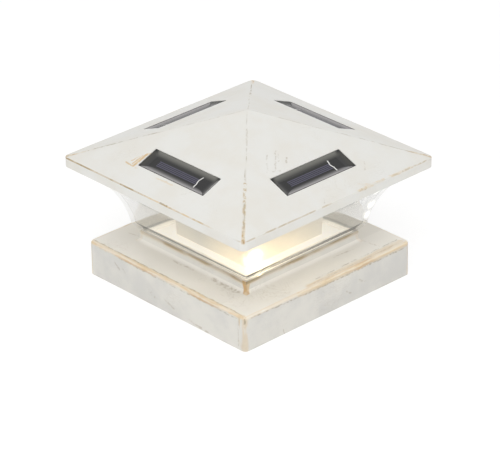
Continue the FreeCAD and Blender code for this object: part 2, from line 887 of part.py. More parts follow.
def lamp(side):
    """A domed lamp that looks out through the housing wall, on its own small board."""
    radius = size("lamp_radius")
    flange_x = housing_bore - size("lamp_flange_thickness")
    here = turn(QUARTERS[side])
    spot = -lamp_spot
    flange = rod("lamp_flange_" + side, size("lamp_flange_radius"), size("lamp_flange_thickness"),
                 here, *along_x(flange_x, spot, lamp_height))
    straight = size("housing_wall") + size("lamp_reach")
    stem = rod("lamp_stem_" + side, radius, straight, here, *along_x(housing_bore, spot, lamp_height))
    dome = ball("lamp_dome_" + side, radius, here, place_of(housing_bore + straight, spot, lamp_height))
    node(fuse("lamp_" + side, [flange, stem, dome]), "lamp_" + side)
    thick = size("lamp_board_thickness")
    node(box("lamp_card_" + side, thick, size("lamp_board_length"), size("lamp_board_height"),
             here, place_of(flange_x - thick, spot - size("lamp_board_length") / 2 + size("panel_gap"),
                            lamp_height - size("lamp_radius"))),
         "lamp_board_" + side)


# ---------------------------------------------------------------- leads
def tube(points, radius):
    """A wire along straight runs joined by tangent arcs."""
    edges = []
    start = points[0]
    for before, corner, after in zip(points, points[1:], points[2:]):
        back = (before - corner).normalize()
        ahead = (after - corner).normalize()
        half_turn = (math.pi - back.getAngle(ahead)) / 2
        trim = BEND_SHARE * min((before - corner).Length, (after - corner).Length)
        bend = trim / math.tan(half_turn)
        enter = corner + back * trim
        leave = corner + ahead * trim
        inward = (back + ahead).normalize()
        crown = corner + inward * (bend / math.cos(half_turn) - bend)
        edges.append(Part.LineSegment(start, enter).toShape())
        edges.append(Part.Arc(enter, crown, leave).toShape())
        start = leave
    edges.append(Part.LineSegment(start, points[-1]).toShape())
    section = Part.Wire([Part.Circle(points[0], points[1] - points[0], radius).toShape()])
    return Part.Wire(edges).makePipeShell([section], True, False)


def lead_pair(name, route, spread, quarter=0):
    """Two wires side by side along a route, turned to one side of the roof."""
    radius = size("lead_radius").value
    wires = []
    for shift in (-1, 1):
        offset = spread * shift * (radius + size("panel_gap").value)
        wires.append(tube([point + offset for point in route], radius))
    made = doc.addObject("Part::Feature", name)
    made.Shape = Part.makeCompound(wires)
    made.Placement = FreeCAD.Placement(Vector(0, 0, 0), FreeCAD.Rotation(Vector(0, 0, 1), quarter))
    node(made, name)


def leads():
    """Every lead leaves and meets its boards square on."""
    run = Vector(0, 0, size("lead_end_run").value)
    beside = Vector(0, 1, 0)
    seat_depth = size("window_depth") + size("seat_wall")
    hole_x, hole_z = slope_point((window_low + window_high) / 2, seat_depth)
    under_board = hole_z + size("seat_wall") / slope_cos - size("lead_radius") * slope_sin
    start = Vector(hole_x.value, 0, under_board.value)
    inner = column_spot.value - size("lead_inset").value
    above = Vector(inner, 0, (housing_top + size("boss_radius")).value)
    for side, quarter in QUARTERS.items():
        route = [start, start - run, above, Vector(inner, 0, board_top.value)]
        lead_pair("panel_leads_" + side, route, beside, quarter)
    card_top = (lamp_height - size("lamp_radius") + size("lamp_board_height")).value
    card_x = (housing_bore - size("lamp_flange_thickness") - size("lamp_board_thickness") / 2).value
    for side in ("right", "left"):
        low = Vector(card_x, size("lamp_radius").value - lamp_spot.value, card_top)
        high = Vector(card_x, low.y + size("lead_inset").value, board_low.value)
        lead_pair("lamp_leads_" + side, [low, low + run, high - run, high], beside, QUARTERS[side])
    top = (holder_top + size("holder_wall")).value
    for name, way in (("battery_lead_plus", 1), ("battery_lead_minus", -1)):
        reach = (bay_reach - size("lead_inset")).value
        low = Vector(way * reach, battery_y.value, top)
        high = Vector(way * (reach - size("lead_inset").value), battery_y.value, board_low.value)
        lead_pair(name, [low, low + run / 2, high - run / 2, high], beside)


# ---------------------------------------------------------------- everything
base_collar()
square_ring("shade_bond", plinth_top, plinth_half - size("plinth_edge"), plinth_bore, size("bond_gap"))
shade()
square_ring("roof_gasket", shade_top, shade_lip[0], ledge_half, size("seal_thickness"))
roof_cap()
for panel_side in QUARTERS:
    solar_panel(panel_side)
light_housing()
housing_floor()
screws()
battery_holder()
battery()
battery_door()
power_switch()
circuit_board()
lamp("right")
lamp("left")
leads()

doc.recompute()
for item in doc.Objects:
    if "Invalid" in item.State or "Error" in item.State:
        raise RuntimeError("%s failed: %s" % (item.Label, item.State))
for item in NODES:
    if item.Shape.isNull() or not item.Shape.isValid():
        raise RuntimeError("%s has no valid shape" % item.Label)
for item in NODES:
    item.Shape.exportStep("parts/%s.step" % item.Label)
print("%d nodes written" % len(NODES))
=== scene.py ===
"""Looks of the deck post cap light, in metres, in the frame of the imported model."""
import bpy
import bmesh
import json
import math
from mathutils import Matrix, Vector


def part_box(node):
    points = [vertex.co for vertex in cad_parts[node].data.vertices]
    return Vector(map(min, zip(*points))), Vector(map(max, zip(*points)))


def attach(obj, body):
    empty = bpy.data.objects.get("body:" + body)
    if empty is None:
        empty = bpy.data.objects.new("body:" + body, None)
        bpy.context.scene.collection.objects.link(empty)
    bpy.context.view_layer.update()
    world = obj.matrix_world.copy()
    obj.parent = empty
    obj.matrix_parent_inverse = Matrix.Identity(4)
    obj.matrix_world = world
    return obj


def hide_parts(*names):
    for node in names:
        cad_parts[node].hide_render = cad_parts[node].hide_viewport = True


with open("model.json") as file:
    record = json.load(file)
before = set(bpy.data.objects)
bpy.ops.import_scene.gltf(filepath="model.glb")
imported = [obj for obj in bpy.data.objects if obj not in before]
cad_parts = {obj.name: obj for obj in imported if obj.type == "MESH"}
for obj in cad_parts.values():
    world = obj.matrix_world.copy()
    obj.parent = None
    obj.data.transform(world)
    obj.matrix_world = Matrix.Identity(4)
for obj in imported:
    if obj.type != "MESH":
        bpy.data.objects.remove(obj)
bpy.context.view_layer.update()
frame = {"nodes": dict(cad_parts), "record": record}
nodes = frame["nodes"]

MM = 0.001


# ---------------------------------------------------------------- places on the light
def middle(name):
    """The middle of a CAD node's box."""
    low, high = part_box(name)
    return (low + high) / 2


COLLAR_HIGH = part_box("base_collar")[1]
ROOF_LOW, ROOF_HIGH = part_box("roof_cap")
COLLAR_HALF = COLLAR_HIGH.x
PLINTH_TOP = COLLAR_HIGH.z
ROOF_HALF = ROOF_HIGH.x
LAMP_MIDDLE = middle("lamp_right")
DECK_TOP = 22.0 * MM
PLINTH_HALF = 45.5 * MM
HOUSING_HALF = 30.0 * MM
RIM_HEIGHT = 5.9 * MM
EAVE = ROOF_LOW.z + RIM_HEIGHT
ROOF_RISE = 30.1
ROOF_RUN = 75.6
SLOPE = math.atan2(ROOF_RISE, ROOF_RUN)
BOARD_THICKNESS = 1.2 * MM
CELL_PITCH = 1.15 * MM
# Each window's turn about the z axis from the right-hand window, in degrees.
SIDES = {"right": 0, "back": 90, "left": 180, "front": 270}


def panel_frame(side):
    """The frame of one panel: origin on the middle of its board's face, x down the slope, z outward."""
    outward = Vector((math.sin(SLOPE), 0, math.cos(SLOPE)))
    face = middle("panel_board_right") + outward * BOARD_THICKNESS / 2
    place = Matrix.Translation(Vector((face.x, 0, face.z))) @ Matrix.Rotation(SLOPE, 4, "Y")
    return Matrix.Rotation(math.radians(SIDES[side]), 4, "Z") @ place


def place_object(name, data):
    """Makes an object of the data and puts it in the scene."""
    made = bpy.data.objects.new(name, data)
    bpy.context.scene.collection.objects.link(made)
    return made


# ---------------------------------------------------------------- shader building
# The two ends and the result among the sockets of a Mix node, by the kind of data.
MIX_SOCKETS = {"FLOAT": (2, 3, 0), "RGBA": (6, 7, 2)}
NUMBER_RESULTS = ("DOT_PRODUCT", "DISTANCE")


def add_node(tree, kind, **settings):
    made = tree.nodes.new(kind)
    for key, value in settings.items():
        setattr(made, key, value)
    return made


def rgba(colour):
    """A colour for a socket: a node's output as it is, or three numbers with full alpha."""
    return colour if hasattr(colour, "is_output") else (*colour, 1.0)


class Shader:
    """A material on the standard surface, with short calls for the nodes that drive it."""

    def __init__(self, name, **values):
        self.material = bpy.data.materials.new(name)
        self.material.use_nodes = True
        self.tree = self.material.node_tree
        self.surface = next(n for n in self.tree.nodes if n.type == "BSDF_PRINCIPLED")
        for socket, value in values.items():
            self.surface.inputs[socket.replace("_", " ")].default_value = value
        self.place = self.add("ShaderNodeTexCoord").outputs["Object"]
        split = self.add("ShaderNodeSeparateXYZ")
        self.link(self.place, split.inputs[0])
        self.x, self.y, self.z = split.outputs

    def add(self, kind, **settings):
        return add_node(self.tree, kind, **settings)

    def link(self, source, socket):
        """Joins a node's output to the socket, or sets the socket to a plain value."""
        if hasattr(source, "is_output"):
            self.tree.links.new(source, socket)
        else:
            socket.default_value = source

    def math(self, operation, *values, clamp=False):
        made = self.add("ShaderNodeMath", operation=operation, use_clamp=clamp)
        for value, socket in zip(values, made.inputs):
            self.link(value, socket)
        return made.outputs[0]

    def chain(self, operation, first, *others):
        """Applies an operation of two values to a whole row of values."""
        for other in others:
            first = self.math(operation, first, other)
        return first

    def plus(self, *values):
        return self.chain("ADD", *values)

    def minus(self, a, b):
        return self.math("SUBTRACT", a, b)

    def times(self, *values):
        return self.chain("MULTIPLY", *values)

    def most(self, *values):
        return self.chain("MAXIMUM", *values)

    def least(self, *values):
        return self.chain("MINIMUM", *values)

    def over(self, a, b):
        """1 where the first value is the greater, 0 elsewhere."""
        return self.math("GREATER_THAN", a, b)

    def under(self, a, b):
        """1 where the first value is the smaller, 0 elsewhere."""
        return self.math("LESS_THAN", a, b)

    def power(self, a, exponent):
        return self.math("POWER", a, exponent)

    def size_of(self, a):
        return self.math("ABSOLUTE", a)

    def hypot(self, a, b):
        return self.math("SQRT", self.plus(self.times(a, a), self.times(b, b)))

    def at_least(self, mask, floor):
        """The mask squeezed into the range from the floor to 1."""
        return self.plus(self.times(mask, 1.0 - floor), floor)

    def fade(self, value, full, none):
        """1 where the value is at full, 0 where it is at none, smooth between."""
        made = self.add("ShaderNodeMapRange", interpolation_type="SMOOTHSTEP")
        self.link(value, made.inputs["Value"])
        rising = full >= none
        self.link(none if rising else full, made.inputs["From Min"])
        self.link(full if rising else none, made.inputs["From Max"])
        made.inputs["To Min"].default_value = 0.0 if rising else 1.0
        made.inputs["To Max"].default_value = 1.0 if rising else 0.0
        return made.outputs["Result"]

    def vector(self, x, y, z):
        made = self.add("ShaderNodeCombineXYZ")
        for value, socket in zip((x, y, z), made.inputs):
            self.link(value, socket)
        return made.outputs[0]

    def vector_math(self, operation, first, second):
        made = self.add("ShaderNodeVectorMath", operation=operation)
        self.link(first, made.inputs[0])
        self.link(second, made.inputs[1])
        return made.outputs["Value" if operation in NUMBER_RESULTS else "Vector"]

    def stretch(self, level, upright):
        """The place with its level axes and its upright axis scaled apart."""
        return self.vector_math("MULTIPLY", self.place, (level, level, upright))

    def noise(self, vector, scale=1.0, detail=2.0, roughness=0.5, distortion=0.0, output="Fac"):
        made = self.add("ShaderNodeTexNoise")
        self.link(vector, made.inputs["Vector"])
        made.inputs["Scale"].default_value = scale
        made.inputs["Detail"].default_value = detail
        made.inputs["Roughness"].default_value = roughness
        made.inputs["Distortion"].default_value = distortion
        return made.outputs[output]

    def mix_node(self, kind, share, a, b):
        first, second, result = MIX_SOCKETS[kind]
        made = self.add("ShaderNodeMix", data_type=kind)
        self.link(share, made.inputs[0])
        self.link(a, made.inputs[first])
        self.link(b, made.inputs[second])
        return made.outputs[result]

    def mix(self, share, a, b):
        """The first colour where the share is 0, the second where it is 1."""
        return self.mix_node("RGBA", share, rgba(a), rgba(b))

    def blend(self, share, a, b):
        """The first number where the share is 0, the second where it is 1."""
        return self.mix_node("FLOAT", share, a, b)

    def colour(self, source):
        self.link(rgba(source), self.surface.inputs["Base Color"])

    def rough(self, source):
        self.link(source, self.surface.inputs["Roughness"])

    def bump(self, height, depth, strength):
        made = self.add("ShaderNodeBump")
        made.inputs["Strength"].default_value = strength
        made.inputs["Distance"].default_value = depth
        self.link(height, made.inputs["Height"])
        self.link(made.outputs[0], self.surface.inputs["Normal"])

    def glow(self, colour, amount):
        self.link(rgba(colour), self.surface.inputs["Emission Color"])
        self.link(amount, self.surface.inputs["Emission Strength"])


def dress(name, shader):
    """Gives a CAD node one material."""
    mesh = nodes[name].data
    mesh.materials.clear()
    mesh.materials.append(shader.material)


# ---------------------------------------------------------------- worn paint
# One off-white paint in three copies: the roof's; the deck's, partly creamier in tone and partly lighter as
# painted light on the upward deck; and the skirt's, darker as painted shade on the sides.
PAINT = (0.800, 0.795, 0.760)
PAINT_WARM = (0.780, 0.760, 0.705)
PAINT_DECK_CREAM_AND_LIT = (0.930, 0.900, 0.830)
PAINT_SKIRT_SHADED = (0.685, 0.672, 0.636)
TAN = (0.720, 0.545, 0.310)
ORANGE = (0.600, 0.370, 0.150)
BROWN = (0.310, 0.235, 0.130)
PAINT_GLOSS = 0.35
PAINT_ROUGHNESS = 0.40
WORN_ROUGHNESS = 0.12
GRAIN_ROUGHNESS = 0.14
GRAIN_TINT = 0.10
BRUSH_DEPTH = 0.06 * MM
BRUSH_STRENGTH = 0.35
# How well tan, orange and brown cover the paint.
TAN_COVER = 0.90
ORANGE_COVER = 0.85
BROWN_COVER = 0.80
# How far the edge of a stroke wanders, and the solid share of its half width.
RAGGED = 0.9 * MM
STROKE_CORE = 0.35
# Shifts of the noise, so that no two sides of the light wear alike.
AXIS_SEED = 7.3
FAR_SEED = 13.1
SCRATCH_WIDTH = 0.018

# Distances in millimetres at which wear is full and at which it ends.
EDGES = {
    "rim": (0.9, 2.2),
    "corner": (1.6, 3.4),
    "foot": (0.0, 1.0),
    "rail": (0.9, 2.0),
    "rail_drop": (0.4, 3.2),
    "rail_face": (0.7, 1.2),
    "wedge": (-0.5, 0.5),
    "thin_hip": (0.20, 0.85),
    "wide_hip": (0.4, 1.3),
    "eave": (0.20, 0.75),
    "lower_roof": (48.0, 30.0),
    "low_hip": (102.0, 88.0),
    "front_eave": (40.0, 54.0),
}
# Levels of noise at which a worn patch is full and at which it ends.
CUTS = {
    "cloud": (0.66, 0.36),
    "grain": (0.75, 0.5),
    "scratch_groups": (0.68, 0.56),
    "rim": (0.50, 0.36),
    "corner": (0.50, 0.36),
    "strip": (0.78, 0.50),
    "rail": (0.60, 0.44),
    "foot": (0.66, 0.52),
    "collar_streaks": (0.60, 0.44),
    "collar_orange": (0.62, 0.46),
    "collar_brown": (0.60, 0.40),
    "wedge": (0.60, 0.40),
    "hip_brown": (0.56, 0.44),
    "hip_tan": (0.5, 0.38),
    "hip_orange": (0.60, 0.48),
    "hip_groups": (0.54, 0.42),
    "front_hip": (0.56, 0.46),
    "eave": (0.56, 0.42),
    "eave_groups": (0.54, 0.42),
    "front_eave": (0.60, 0.44),
    "front_groups": (0.56, 0.40),
    "roof_tan": (0.60, 0.40),
    "roof_orange": (0.58, 0.46),
    "roof_brown": (0.60, 0.44),
}
# How strongly each kind of wear shows, by colour.
TAN_SHARE = {"rim": 0.45, "corner": 0.5, "rail": 0.80, "hip": 0.8, "eave": 0.5, "front_hip": 0.7}
BROWN_SHARE = {
    "strip": 0.30, "collar_scratches": 0.30, "foot": 0.40, "rail": 0.80,
    "hip": 0.80, "eave": 0.50, "front_hip": 0.45, "roof_scratches": 0.14,
}
PATCH_ORANGE = 0.40


class WornPaint(Shader):
    """Off-white paint over tan, rubbed through along edges and brushed with faint strokes."""

    def __init__(self, name):
        super().__init__(name, Specular_IOR_Level=PAINT_GLOSS)
        self.reach_x = self.size_of(self.x)
        self.reach_y = self.size_of(self.y)
        self.reach = self.most(self.reach_x, self.reach_y)
        on_x = self.over(self.reach_x, self.reach_y)
        self.along = self.blend(on_x, self.x, self.y)
        far = self.over(self.plus(self.x, self.y), 0.0)
        self.seed = self.plus(self.times(on_x, AXIS_SEED), self.times(far, FAR_SEED))
        self.speckle = self.noise(self.place, scale=520.0, detail=3.0, roughness=0.65)
        self.patches = self.noise(self.place, scale=85.0, detail=3.0, roughness=0.6)
        wander = self.noise(self.place, scale=330.0, detail=3.0, output="Color")
        centred = self.vector_math("SUBTRACT", wander, (0.5, 0.5, 0.5))
        offset = self.vector_math("MULTIPLY", centred, (RAGGED * 2, RAGGED * 2, RAGGED * 2))
        self.ragged = self.vector_math("ADD", self.place, offset)

    def near(self, distance, edge):
        """1 close to an edge, 0 from where its wear ends."""
        full, none = EDGES[edge]
        return self.fade(distance, full * MM, none * MM)

    def cut(self, noise, kind):
        """1 on the patches that a kind of wear takes from the noise, 0 between them."""
        return self.fade(noise, *CUTS[kind])

    def stroke(self, start, end, half_width):
        """1 on a ragged mark between two places in millimetres, fading out at its half width."""
        first = Vector(start) * MM
        way = Vector(end) * MM - first
        offset = self.vector_math("SUBTRACT", self.ragged, tuple(first))
        reached = self.vector_math("DOT_PRODUCT", offset, tuple(way))
        share = self.math("MULTIPLY", reached, 1.0 / way.length_squared, clamp=True)
        step = self.add("ShaderNodeVectorMath", operation="SCALE")
        step.inputs[0].default_value = tuple(way)
        self.link(share, step.inputs["Scale"])
        distance = self.vector_math("DISTANCE", offset, step.outputs[0])
        return self.fade(distance, half_width * STROKE_CORE * MM, half_width * MM)

    def strokes(self, marks):
        """The strongest of several strokes, each given as start, end, half width and strength."""
        whole = 0.0
        for start, end, half_width, strength in marks:
            whole = self.most(whole, self.times(self.stroke(start, end, half_width), strength))
        return whole

    def along_noise(self, along, across, shift=0.0, detail=2.0, roughness=0.5):
        """Noise drawn out along the nearer edge, with its scales along and across that edge."""
        run = self.plus(self.times(self.along, along), self.plus(self.seed, shift))
        place = self.vector(run, self.times(self.reach, across), self.times(self.z, across))
        return self.noise(place, detail=detail, roughness=roughness)

    def scratches(self, group_scale):
        """Thin faint scratches in loose groups."""
        drawn_out = self.stretch(level=95.0, upright=420.0)
        lines = self.noise(drawn_out, detail=5.0, roughness=0.7, distortion=1.2)
        groups = self.noise(self.place, scale=group_scale, detail=1.0)
        thin = self.fade(self.size_of(self.minus(lines, 0.5)), 0.0, SCRATCH_WIDTH)
        return self.times(thin, self.cut(groups, "scratch_groups"))

    def finish(self, tan, orange, brown, cream_and_light=0.0, ground=PAINT):
        """Puts the wear on mottled paint, and gives the whole its roughness and brush strokes."""
        cloud = self.noise(self.place, scale=38.0, detail=4.0, roughness=0.6)
        base = self.mix(self.cut(cloud, "cloud"), ground, PAINT_WARM)
        # The deck's copy of the paint, mixed in where asked: creamier, and lighter as painted light on the
        # upward deck.
        base = self.mix(cream_and_light, base, PAINT_DECK_CREAM_AND_LIT)
        grain = self.noise(self.stretch(level=700.0, upright=140.0), detail=3.0, roughness=0.6)
        base = self.mix(self.times(self.cut(grain, "grain"), GRAIN_TINT), base, PAINT_WARM)
        tone = self.mix(self.times(tan, TAN_COVER), base, TAN)
        tone = self.mix(self.times(orange, ORANGE_COVER), tone, ORANGE)
        tone = self.mix(self.times(brown, BROWN_COVER), tone, BROWN)
        self.colour(tone)
        worn = self.times(self.most(tan, orange, brown), WORN_ROUGHNESS)
        self.rough(self.plus(self.times(grain, GRAIN_ROUGHNESS), PAINT_ROUGHNESS, worn))
        brushed = self.noise(self.stretch(level=260.0, upright=1400.0), detail=4.0, roughness=0.65)
        self.bump(brushed, BRUSH_DEPTH, BRUSH_STRENGTH)


# Wear marks, given one by one: start, end, half width (all in millimetres) and strength.
COLLAR_TAN = [
    ((-64, -66.2, 21.6), (66, -66.2, 21.6), 2.2, 0.95),
    ((67, -24, 21.0), (67, 64, 21.2), 2.6, 0.90),
    ((65.4, -14, 22), (64, 62, 22), 3.6, 0.70),
    ((-66, 60, 21), (-66, -40, 21), 2.2, 0.80),
    ((-60, 67, 20.6), (62, 67, 20.8), 2.4, 0.80),
    ((-66, 66, 20), (-66, 66, 1), 2.0, 0.70),
]
COLLAR_ORANGE = [
    ((-52, -67, 20.3), (64, -67, 20.0), 0.9, 0.80),
    ((67, -16, 20.2), (67, 58, 20.4), 1.0, 0.65),
    ((66, 4, 22), (65.6, 52, 22), 1.0, 0.60),
    ((64.4, -67, 20.6), (64.0, -67, 2), 1.6, 0.50),
    ((-66, 50, 21), (-66, -20, 21), 1.1, 0.65),
    ((-40, 67, 20.6), (40, 67, 20.8), 1.1, 0.65),
]
COLLAR_BROWN = [
    ((-64, -64.9, 22), (62, -65.1, 22), 0.60, 0.70),
    ((-40, -67, 19.6), (60, -67, 19.4), 0.50, 0.55),
    ((67, -62, 20.6), (67, -18, 19.4), 0.55, 0.75),
    ((67, -20, 19.2), (67, 62, 19.0), 0.60, 0.75),
    ((61.6, -6, 22), (60.6, 62, 22), 0.65, 0.65),
    ((64.6, -12, 22), (64.2, 60, 22), 0.50, 0.45),
    ((66.6, 65.8, 21), (66.8, 66.0, 1), 1.0, 0.60),
    ((66.2, -66.4, 20.9), (66.3, -66.4, 16), 1.2, 0.80),
    ((61.6, -67, 20), (61.4, -67, 2), 0.50, 0.45),
    ((66.5, -66.5, 16), (66.5, -66.5, 1), 0.60, 0.50),
    ((-14, -67, 8.4), (-8, -67, 5.6), 1.1, 0.40),
    ((0, -67, 7.5), (7, -67, 5.0), 1.0, 0.36),
    ((20, -67, 2.6), (36, -67, 0.6), 1.0, 0.50),
    ((-44, -67, 15.4), (-40, -67, 12.4), 0.8, 0.45),
    ((-38, -67, 14.4), (-35, -67, 12.0), 0.7, 0.40),
    ((67, 14, 8.6), (67, 18, 5.2), 0.8, 0.40),
    ((67, 24, 12.0), (67, 30, 9.0), 0.9, 0.30),
    ((67, -37, 3.0), (67, -36, 0.4), 0.7, 0.60),
    ((-57, -44, 22), (-50, -43, 22), 0.8, 0.35),
    ((-12, -49, 22), (4, -48.4, 22), 1.2, 0.45),
    ((20, -48, 22), (42, -48.4, 22), 1.7, 0.55),
    ((26, -50, 22), (40, -50, 22), 1.0, 0.45),
    ((46, 47, 22), (60, 49, 22), 0.7, 0.35),
    ((50, 20, 22), (51, 38, 22), 0.7, 0.35),
    ((-67, -30, 9), (-67, -18, 6), 0.9, 0.25),
    ((20, 67, 10), (32, 67, 7), 0.9, 0.25),
]
ROOF_TAN = [
    ((-29.6, -62.5, 82.4), (-29.0, -52.5, 86.4), 1.2, 1.00),
    ((-31.6, -61.5, 82.8), (-30.4, -54.5, 85.6), 0.8, 0.85),
    ((-34.0, -60.0, 83.4), (-32.0, -55.5, 85.2), 0.7, 0.70),
    ((-36.0, -62.5, 82.4), (-29.4, -62.9, 82.2), 0.7, 0.80),
    ((-28.6, -52.5, 86.4), (-25.0, -47.5, 88.4), 0.9, 0.60),
    ((-27.0, -63.0, 82.2), (-12.0, -62.8, 82.3), 1.0, 0.60),
    ((-10.0, -63.4, 82.0), (4.0, -63.0, 82.2), 0.8, 0.45),
    ((70, 14, 78.2), (76.4, 26, 76.9), 1.2, 0.40),
    ((76, 14, 76.8), (76, 58, 76.8), 1.2, 0.60),
    ((64, -64, 81.8), (75, -75, 77.4), 1.1, 0.60),
]
ROOF_BROWN = [
    ((32.4, -15.7, 94.4), (42.3, -25.2, 90.5), 0.7, 0.36),
    ((31.6, -8.2, 94.7), (43.0, -19.3, 90.2), 0.7, 0.40),
    ((34.5, -9.0, 93.6), (39.0, -13.0, 91.8), 0.6, 0.30),
    ((38.7, -6.4, 91.9), (41.5, -9.2, 90.8), 0.9, 0.45),
    ((43.5, -21.5, 90.0), (45.0, -17.0, 89.4), 0.8, 0.30),
    ((72.0, -9.5, 78.6), (75.5, -12.5, 77.2), 0.6, 0.30),
    ((8, -76.2, 77.0), (14, -76.2, 77.0), 0.8, 0.85),
    ((16, -76.2, 77.0), (28, -76.2, 77.0), 0.6, 0.65),
    ((60.8, 34.4, 83.1), (65.9, 29.8, 81.1), 0.6, 0.30),
    ((20.2, -61.1, 83.0), (15.0, -66.0, 81.0), 0.6, 0.25),
    ((76.4, 15.5, 76.9), (76.4, 19.5, 76.6), 1.0, 0.60),
    ((76.4, 50, 76.9), (76.4, 57, 76.9), 0.9, 0.45),
    ((74.5, 74.5, 77.8), (71.0, 71.0, 79.0), 0.8, 0.30),
    ((-30, 40, 91), (-24, 50, 87), 0.7, 0.35),
    ((-44, -12, 89.8), (-52, -6, 86.6), 0.7, 0.35),
]

# The rubbed strip at the front right corner of the skirt: start, end and half width.
CORNER_STRIP = ((63.6, -67, 20.6), (63.4, -67, -1), 2.9)
# The worn wedge on the plinth's corners: its width at the top, and how it narrows downwards.
WEDGE_WIDTH = 3.4 * MM
WEDGE_POWER = 0.4
WEDGE_AT_FRONT = 0.85
WEDGE_ELSEWHERE = 0.10
JUST_ABOVE = 0.02 * MM
# The share of the wear that stays in its gaps.
STREAKS_FLOOR = 0.55
RAIL_FLOOR = 0.45
# The deck's copy of the paint, creamier and lighter as painted light on the upward deck, and how much less
# of it the plinth has.
CREAM_AND_LIGHT = 0.8
CREAM_AND_LIGHT_LESS = 0.55
CREAM_AND_LIGHT_FULL = DECK_TOP - 0.4 * MM
CREAM_AND_LIGHT_NONE = DECK_TOP - 2.0 * MM
PLINTH_FOOT = DECK_TOP + 1.5 * MM
# Painted lamp light: a glow of the paint on the recessed floor and on the deck, where the lamps' light
# falls.
RECESS_FULL = PLINTH_HALF - 3.0 * MM
RECESS_NONE = PLINTH_HALF - 1.0 * MM
RECESS_GLOW = 0.56
DECK_GLOW = 0.05
LAMP_SPILL = (1.0, 0.96, 0.88)


def plinth_wedge(paint):
    """Wear on the plinth's corners, strongest at the front right corner."""
    past_x = paint.most(paint.minus(PLINTH_HALF, paint.reach_x), 0.0)
    past_y = paint.most(paint.minus(PLINTH_HALF, paint.reach_y), 0.0)
    height = PLINTH_TOP - DECK_TOP
    climb = paint.math("DIVIDE", paint.minus(paint.z, DECK_TOP), height, clamp=True)
    taper = paint.times(paint.power(climb, WEDGE_POWER), WEDGE_WIDTH)
    wedge = paint.near(paint.minus(paint.hypot(past_x, past_y), taper), "wedge")
    above_deck = paint.over(paint.z, DECK_TOP + JUST_ABOVE)
    at_front = paint.over(paint.minus(paint.x, paint.y), PLINTH_HALF)
    share = paint.plus(paint.times(at_front, WEDGE_AT_FRONT), WEDGE_ELSEWHERE)
    return paint.times(wedge, above_deck, share)


def plinth_rail(paint):
    """Wear on the plinth's upper edge: tan on its face and brown on the edge itself."""
    across = paint.minus(paint.reach, PLINTH_HALF)
    down = paint.minus(PLINTH_TOP, paint.z)
    patches = paint.along_noise(along=60.0, across=200.0, shift=9.0, detail=3.0)
    gaps = paint.at_least(paint.cut(patches, "rail"), RAIL_FLOOR)
    brown = paint.times(paint.near(paint.hypot(across, down), "rail"), gaps)
    on_face = paint.near(paint.size_of(across), "rail_face")
    tan = paint.times(paint.near(down, "rail_drop"), on_face, gaps)
    return tan, brown


def collar_paint():
    paint = WornPaint("worn_paint_collar")
    long_patches = paint.along_noise(along=26.0, across=30.0)
    streaks = paint.along_noise(along=70.0, across=900.0, shift=3.0, detail=3.0, roughness=0.65)
    upright = paint.noise(paint.stretch(level=300.0, upright=60.0), detail=3.0)
    rim = paint.hypot(paint.minus(paint.reach, COLLAR_HALF), paint.minus(paint.z, DECK_TOP))
    half_and_half = paint.plus(paint.times(long_patches, 0.5), paint.times(streaks, 0.5))
    rim_tan = paint.times(paint.cut(half_and_half, "rim"), TAN_SHARE["rim"], paint.near(rim, "rim"))
    from_x = paint.minus(COLLAR_HALF, paint.reach_x)
    from_y = paint.minus(COLLAR_HALF, paint.reach_y)
    corner = paint.near(paint.hypot(from_x, from_y), "corner")
    corner_tan = paint.times(corner, paint.cut(upright, "corner"), TAN_SHARE["corner"])
    strip = paint.times(paint.stroke(*CORNER_STRIP), paint.cut(upright, "strip"))
    wedge = plinth_wedge(paint)
    rail_tan, rail_brown = plinth_rail(paint)
    foot_patches = paint.along_noise(along=45.0, across=400.0, shift=5.0, detail=3.0)
    foot_brown = paint.times(paint.near(paint.z, "foot"), paint.cut(foot_patches, "foot"))

    streak_gaps = paint.at_least(paint.cut(streaks, "collar_streaks"), STREAKS_FLOOR)
    tan_marks = paint.times(paint.strokes(COLLAR_TAN), streak_gaps)
    rail_tan = paint.times(rail_tan, TAN_SHARE["rail"])
    tan = paint.most(tan_marks, rim_tan, corner_tan, strip, wedge, rail_tan)
    orange_marks = paint.times(paint.strokes(COLLAR_ORANGE), paint.cut(long_patches, "collar_orange"))
    orange = paint.most(orange_marks, paint.times(wedge, paint.cut(upright, "wedge")))
    brown = paint.most(
        paint.times(paint.strokes(COLLAR_BROWN), paint.cut(paint.speckle, "collar_brown")),
        paint.times(strip, BROWN_SHARE["strip"]),
        paint.times(paint.scratches(group_scale=26.0), BROWN_SHARE["collar_scratches"]),
        paint.times(foot_brown, BROWN_SHARE["foot"]),
        paint.times(rail_brown, BROWN_SHARE["rail"]),
    )
    # Deck and plinth take the lighter, creamier copy of the paint as painted light; the skirt takes the
    # darker copy as painted shade.
    less = paint.times(paint.over(paint.z, PLINTH_FOOT), CREAM_AND_LIGHT_LESS)
    cream_and_light = paint.times(paint.fade(paint.z, CREAM_AND_LIGHT_FULL, CREAM_AND_LIGHT_NONE), paint.minus(CREAM_AND_LIGHT, less))
    paint.finish(tan, orange, brown, cream_and_light, PAINT_SKIRT_SHADED)

    # Painted lamp light: the recessed floor inside the plinth glows warm, and the deck faintly, twice as
    # much on the right-hand deck by the lamp.
    inside = paint.fade(paint.reach, RECESS_FULL, RECESS_NONE)
    by_lamp = paint.plus(paint.over(paint.x, PLINTH_HALF), 1.0)
    outside = paint.times(paint.minus(1.0, inside), paint.times(cream_and_light, by_lamp))
    spill = paint.plus(paint.times(inside, RECESS_GLOW), paint.times(outside, DECK_GLOW))
    paint.glow(LAMP_SPILL, spill)
    return paint


SLOPE_FULL = EAVE - 0.5 * MM
SLOPE_NONE = EAVE - 2.0 * MM
# The roof's front right hip lies where x - y is past the first, its front eave where y is below the second.
FRONT_HIP = 85.0 * MM
FRONT_SIDE = -70.0 * MM
